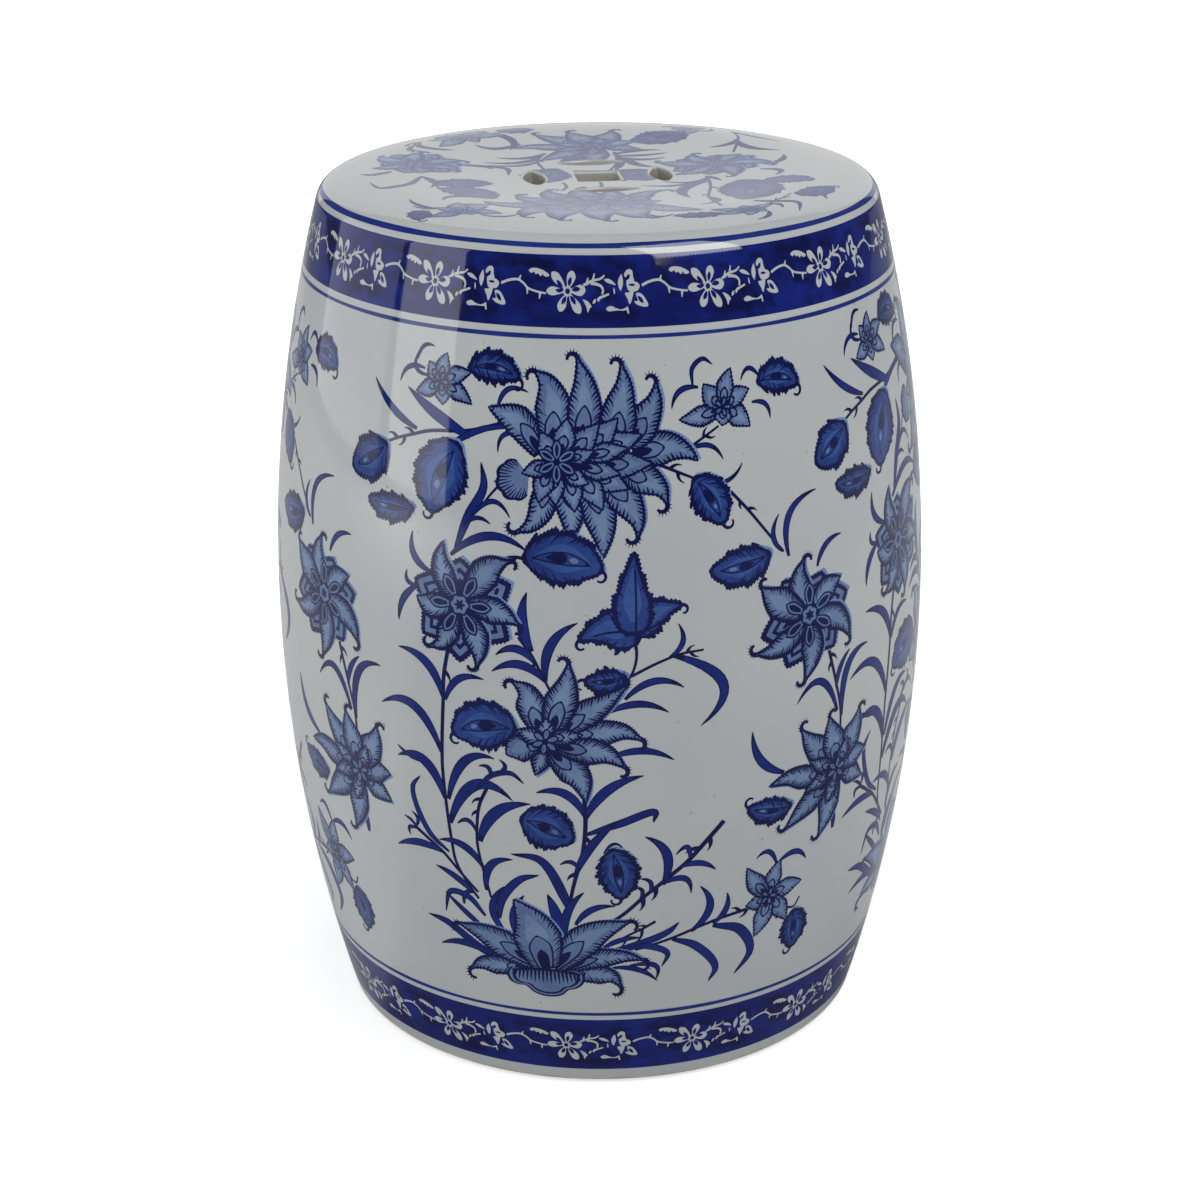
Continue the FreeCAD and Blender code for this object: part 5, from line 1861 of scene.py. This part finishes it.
def paintLine(name, low, high):
    # A thin line right round, drawn by hand on the wheel, so its edges waver a little
    count = drum["facets"]
    rows = max(3, math.ceil((high - low) / painting["lineRow"]) + 1)
    turn = np.arange(count) * 2 * math.pi / count
    slow, fast = painting["wobbleWaves"]
    waver = [painting["wobble"] * (np.sin(turn * slow + k) + 0.6 * np.sin(turn * fast + 2 * k))
             for k in (low, high)]
    v = [low + waver[0] + (high - low + waver[1] - waver[0]) * i / (rows - 1) for i in range(rows)]
    u = turn / (2 * math.pi) * 360 * mmPerDegree
    corners = np.stack([np.tile(u, rows), np.concatenate(v)], axis=1)
    faces = []
    for i in range(rows - 1):
        for j in range(count):
            a, b = i * count + j, i * count + (j + 1) % count
            faces += [(a, b, b + count), (a, b + count, a + count)]
    window = ((0, low - 1), (360 * mmPerDegree, high + 1))
    paintPiece(name, corners, [(np.array(faces), paints["ring"])], onSide, window)


def onSeat(flat):
    # The seat's drawing is set out as the photograph sees it, turned with the camera
    turned = flat @ rotation(math.radians(view["heading"]))
    # Near the shoulder it is pressed together, so that none of it runs over the edge
    r = lengths(turned)
    near = painting["seatEven"]
    pressed = np.where(r > near, near + (r - near) * painting["seatPress"], r)
    turned = turned * (pressed / np.maximum(r, 1e-9))[:, None]
    z, normals = topHeight(turned)
    return np.hstack([turned, z[:, None]]) + normals * painting["lift"], normals


def paintSeat():
    design = drawSeat(Design())
    back = rotation(-math.radians(view["heading"]))
    for edge in painting["squareEdges"]:
        design.lay("line", edge)
    for hole in holes:
        design.lay("reserve", (hole[:, :2] + hole[:, 2:] * (seat["holeEdge"] + 0.1)) @ back)
    side = painting["seatRadius"]
    window = ((-side, -side), (side, side))
    corners, parts = cutDrawing(design.shapes, *window, painting["longest"])
    print("seat cut:", {paint: len(triangles) for paint, triangles in parts.items()})
    for kind, names in kinds.items():
        # The seat's outlines were drawn with a thinner blue
        groups = [(parts[name], paints["ring" if name == "line" else name]) for name in names]
        paintPiece(f"seat_{kind}", corners, groups, onSeat, window)


paintBand("top_band", *band["top"], band["topSprig"])
paintBand("bottom_band", *band["bottom"], band["bottomSprig"])
for i, line in enumerate(painting["lines"], 1):
    paintLine(f"ring_line_{i}", *line)
print("bands painted")
paintSprays()
print("sprays painted")
paintSeat()
print("seat painted")


# Floor, light and camera

studio = {
    "ambient": 0.37,
    "air": (244, 247, 250),
    "mirrored": 0.1,
    "rightFrom": (1.0, 1.9),
    "leftFrom": (1.1, 1.3),
    "floor": (226, 226, 226),
    # the floor as the glaze mirrors it, painted darker: painted shade in its reflections
    "floorShadedInMirror": (138, 138, 140),
    "floorHalf": 6.0,
    # from this far to that far off, and the value at both: off the stool's axis, then off the
    # spot below the left softbox, round which a glow is painted on the floor for the glaze to
    # mirror
    "glow": (0.3, 0.9, 0.62, 1.0),
    "under": (0.095, 0.115, 0.0, 1.0),
    "paintedSpill": (0.2, 1.05, 1.5, 0.0),
    "lamps": {
        # degrees round the stool from the camera, out, up, width, height, brightness,
        # the height it is aimed at, and what it does: light, be mirrored or both
        "left_softbox": (-64, 1.9, 0.62, 0.85, 1.1, 2.4, 0.25, "both"),
        "left_fill": (-100, 1.9, 0.62, 1.4, 1.1, 0.9, 0.25, "both"),
        "right_fill": (72, 2.0, 0.8, 2.6, 1.5, 0.75, 0.25, "light"),
        "top_softbox": (24, 1.0, 2.0, 1.7, 1.2, 2.3, 0.25, "light"),
        "shoulder_window": (39, 1.32, 1.67, 1.0, 1.7, 6.5, 1.21, "mirrored"),
        "back_panel": (180, 2.0, 1.1, 2.8, 1.7, 0.7, 0.25, "both"),
    },
}


def lampPlace(turn, out):
    return pointAt((0, 0), out, math.radians(frontDegrees + turn))


def byRay(finish, plain, seen, mirrored):
    # One shader as the camera sees it, another as the glaze mirrors it, and a plain one
    camera = finish.node("ShaderNodeLightPath", {}, {}, 0)
    glossy = finish.node("ShaderNodeLightPath", {}, {}, 3)
    shader = finish.node("ShaderNodeMixShader", {}, {0: camera, 1: plain, 2: seen})
    return finish.node("ShaderNodeMixShader", {}, {0: glossy, 1: shader, 2: mirrored})


def beside(finish):
    # From 0 towards the camera to 1 at the stool's sides and behind it
    x = finish.node("ShaderNodeSeparateXYZ", {}, {0: finish.place}, 0)
    y = finish.node("ShaderNodeSeparateXYZ", {}, {0: finish.place}, 1)
    turn = finish.node("ShaderNodeMath", {"operation": "ARCTAN2"}, {0: x, 1: y * -1.0})
    left = finish.band(turn * -1.0, *studio["leftFrom"])
    return finish.band(turn, *studio["rightFrom"]) + left


def makeFloor():
    half = studio["floorHalf"]
    corners = [(-half, -half, 0), (half, -half, 0), (half, half, 0), (-half, half, 0)]
    mesh = bpy.data.meshes.new("floor")
    mesh.from_pydata(corners, [], [(0, 1, 2, 3)])
    finish = Finish("pale_floor")
    away = finish.node("ShaderNodeVectorMath", {"operation": "LENGTH"}, {0: finish.place}, 1)
    # Under the stool, seen through the holes, the floor is as dark as it really is
    glow = finish.band(away, *studio["glow"]) * finish.band(away, *studio["under"])
    plain = finish.node("ShaderNodeBsdfDiffuse", {}, {"Color": shade(studio["floor"])})
    light = finish.node("ShaderNodeEmission", {}, {"Color": glow})
    seen = finish.node("ShaderNodeAddShader", {}, {0: plain, 1: light})
    # A painted pool of light: the floor below the left softbox glows in the glaze's reflections
    # only, standing in for the light the softbox spills there, so its mirror image fades out
    below = (*lampPlace(*studio["lamps"]["left_softbox"][:2]), 0)
    fromLamp = finish.node("ShaderNodeVectorMath", {"operation": "DISTANCE"},
                           {0: finish.place, 1: below}, 1)
    paintedSpill = finish.band(fromLamp, *studio["paintedSpill"])
    paintedSpillGlow = finish.node("ShaderNodeEmission", {}, {"Color": paintedSpill})
    # As the glaze mirrors it, the floor is painted darker towards the camera than at the stool's
    # sides and behind it: painted shade in its reflections
    tone = finish.mix(beside(finish), studio["floorShadedInMirror"], studio["floor"])
    dark = finish.node("ShaderNodeBsdfDiffuse", {}, {"Color": tone})
    mirrored = finish.node("ShaderNodeAddShader", {}, {0: dark, 1: paintedSpillGlow})
    shader = byRay(finish, plain, seen, mirrored)
    finish.node("ShaderNodeOutputMaterial", {}, {"Surface": shader})
    mesh.materials.append(finish.material)
    addObject("floor", mesh)


def makeWorld():
    finish = Finish("studio", bpy.data.worlds)
    bpy.context.scene.world = finish.material
    air = shade(studio["air"])
    # The glaze mirrors a darker room than the one that lights it, as in a studio with black flags
    rooms = ((air, studio["ambient"]), ((1, 1, 1, 1), 1.0), (air, studio["mirrored"]))
    shader = byRay(finish, *(
        finish.node("ShaderNodeBackground", {}, {"Color": colour, "Strength": strength})
        for colour, strength in rooms))
    finish.node("ShaderNodeOutputWorld", {}, {"Surface": shader})


def aim(item, place, target):
    item.location = place
    item.rotation_euler = (Vector(target) - Vector(place)).to_track_quat("-Z", "Y").to_euler()


def makeLamps():
    for name, values in studio["lamps"].items():
        turn, out, up, width, height, brightness, aimedAt, part = values
        lamp = bpy.data.lights.new(name, "AREA")
        lamp.shape = "RECTANGLE"
        lamp.size, lamp.size_y = width, height
        lamp.energy = brightness * math.pi * width * height
        item = addObject(name, lamp)
        item.visible_camera = False
        item.visible_diffuse = part != "mirrored"
        item.visible_glossy = part != "light"
        aim(item, (*lampPlace(turn, out), up), (0, 0, aimedAt))


def makeCamera():
    camera = bpy.data.cameras.new("camera")
    camera.sensor_fit = "HORIZONTAL"
    camera.sensor_width = view["sensor"]
    camera.lens = view["lens"]
    camera.clip_start = view["nearest"]
    item = addObject("camera", camera)
    heading, pitch = math.radians(view["heading"]), math.radians(view["pitch"])
    forward = Vector((math.sin(heading) * math.cos(pitch), math.cos(heading) * math.cos(pitch),
                      -math.sin(pitch)))
    right = Vector((math.cos(heading), -math.sin(heading), 0))
    up = right.cross(forward)
    turn = Matrix((right, up, -forward)).transposed() @ Matrix.Rotation(
        math.radians(view["roll"]), 3, "Z")
    item.matrix_world = Matrix.Translation((-view["distance"] * math.sin(heading),
                                            -view["distance"] * math.cos(heading),
                                            view["height"])) @ turn.to_4x4()
    bpy.context.scene.camera = item


makeFloor()
makeWorld()
makeLamps()
makeCamera()
bpy.context.scene.view_settings.view_transform = "Standard"
print("stage set")
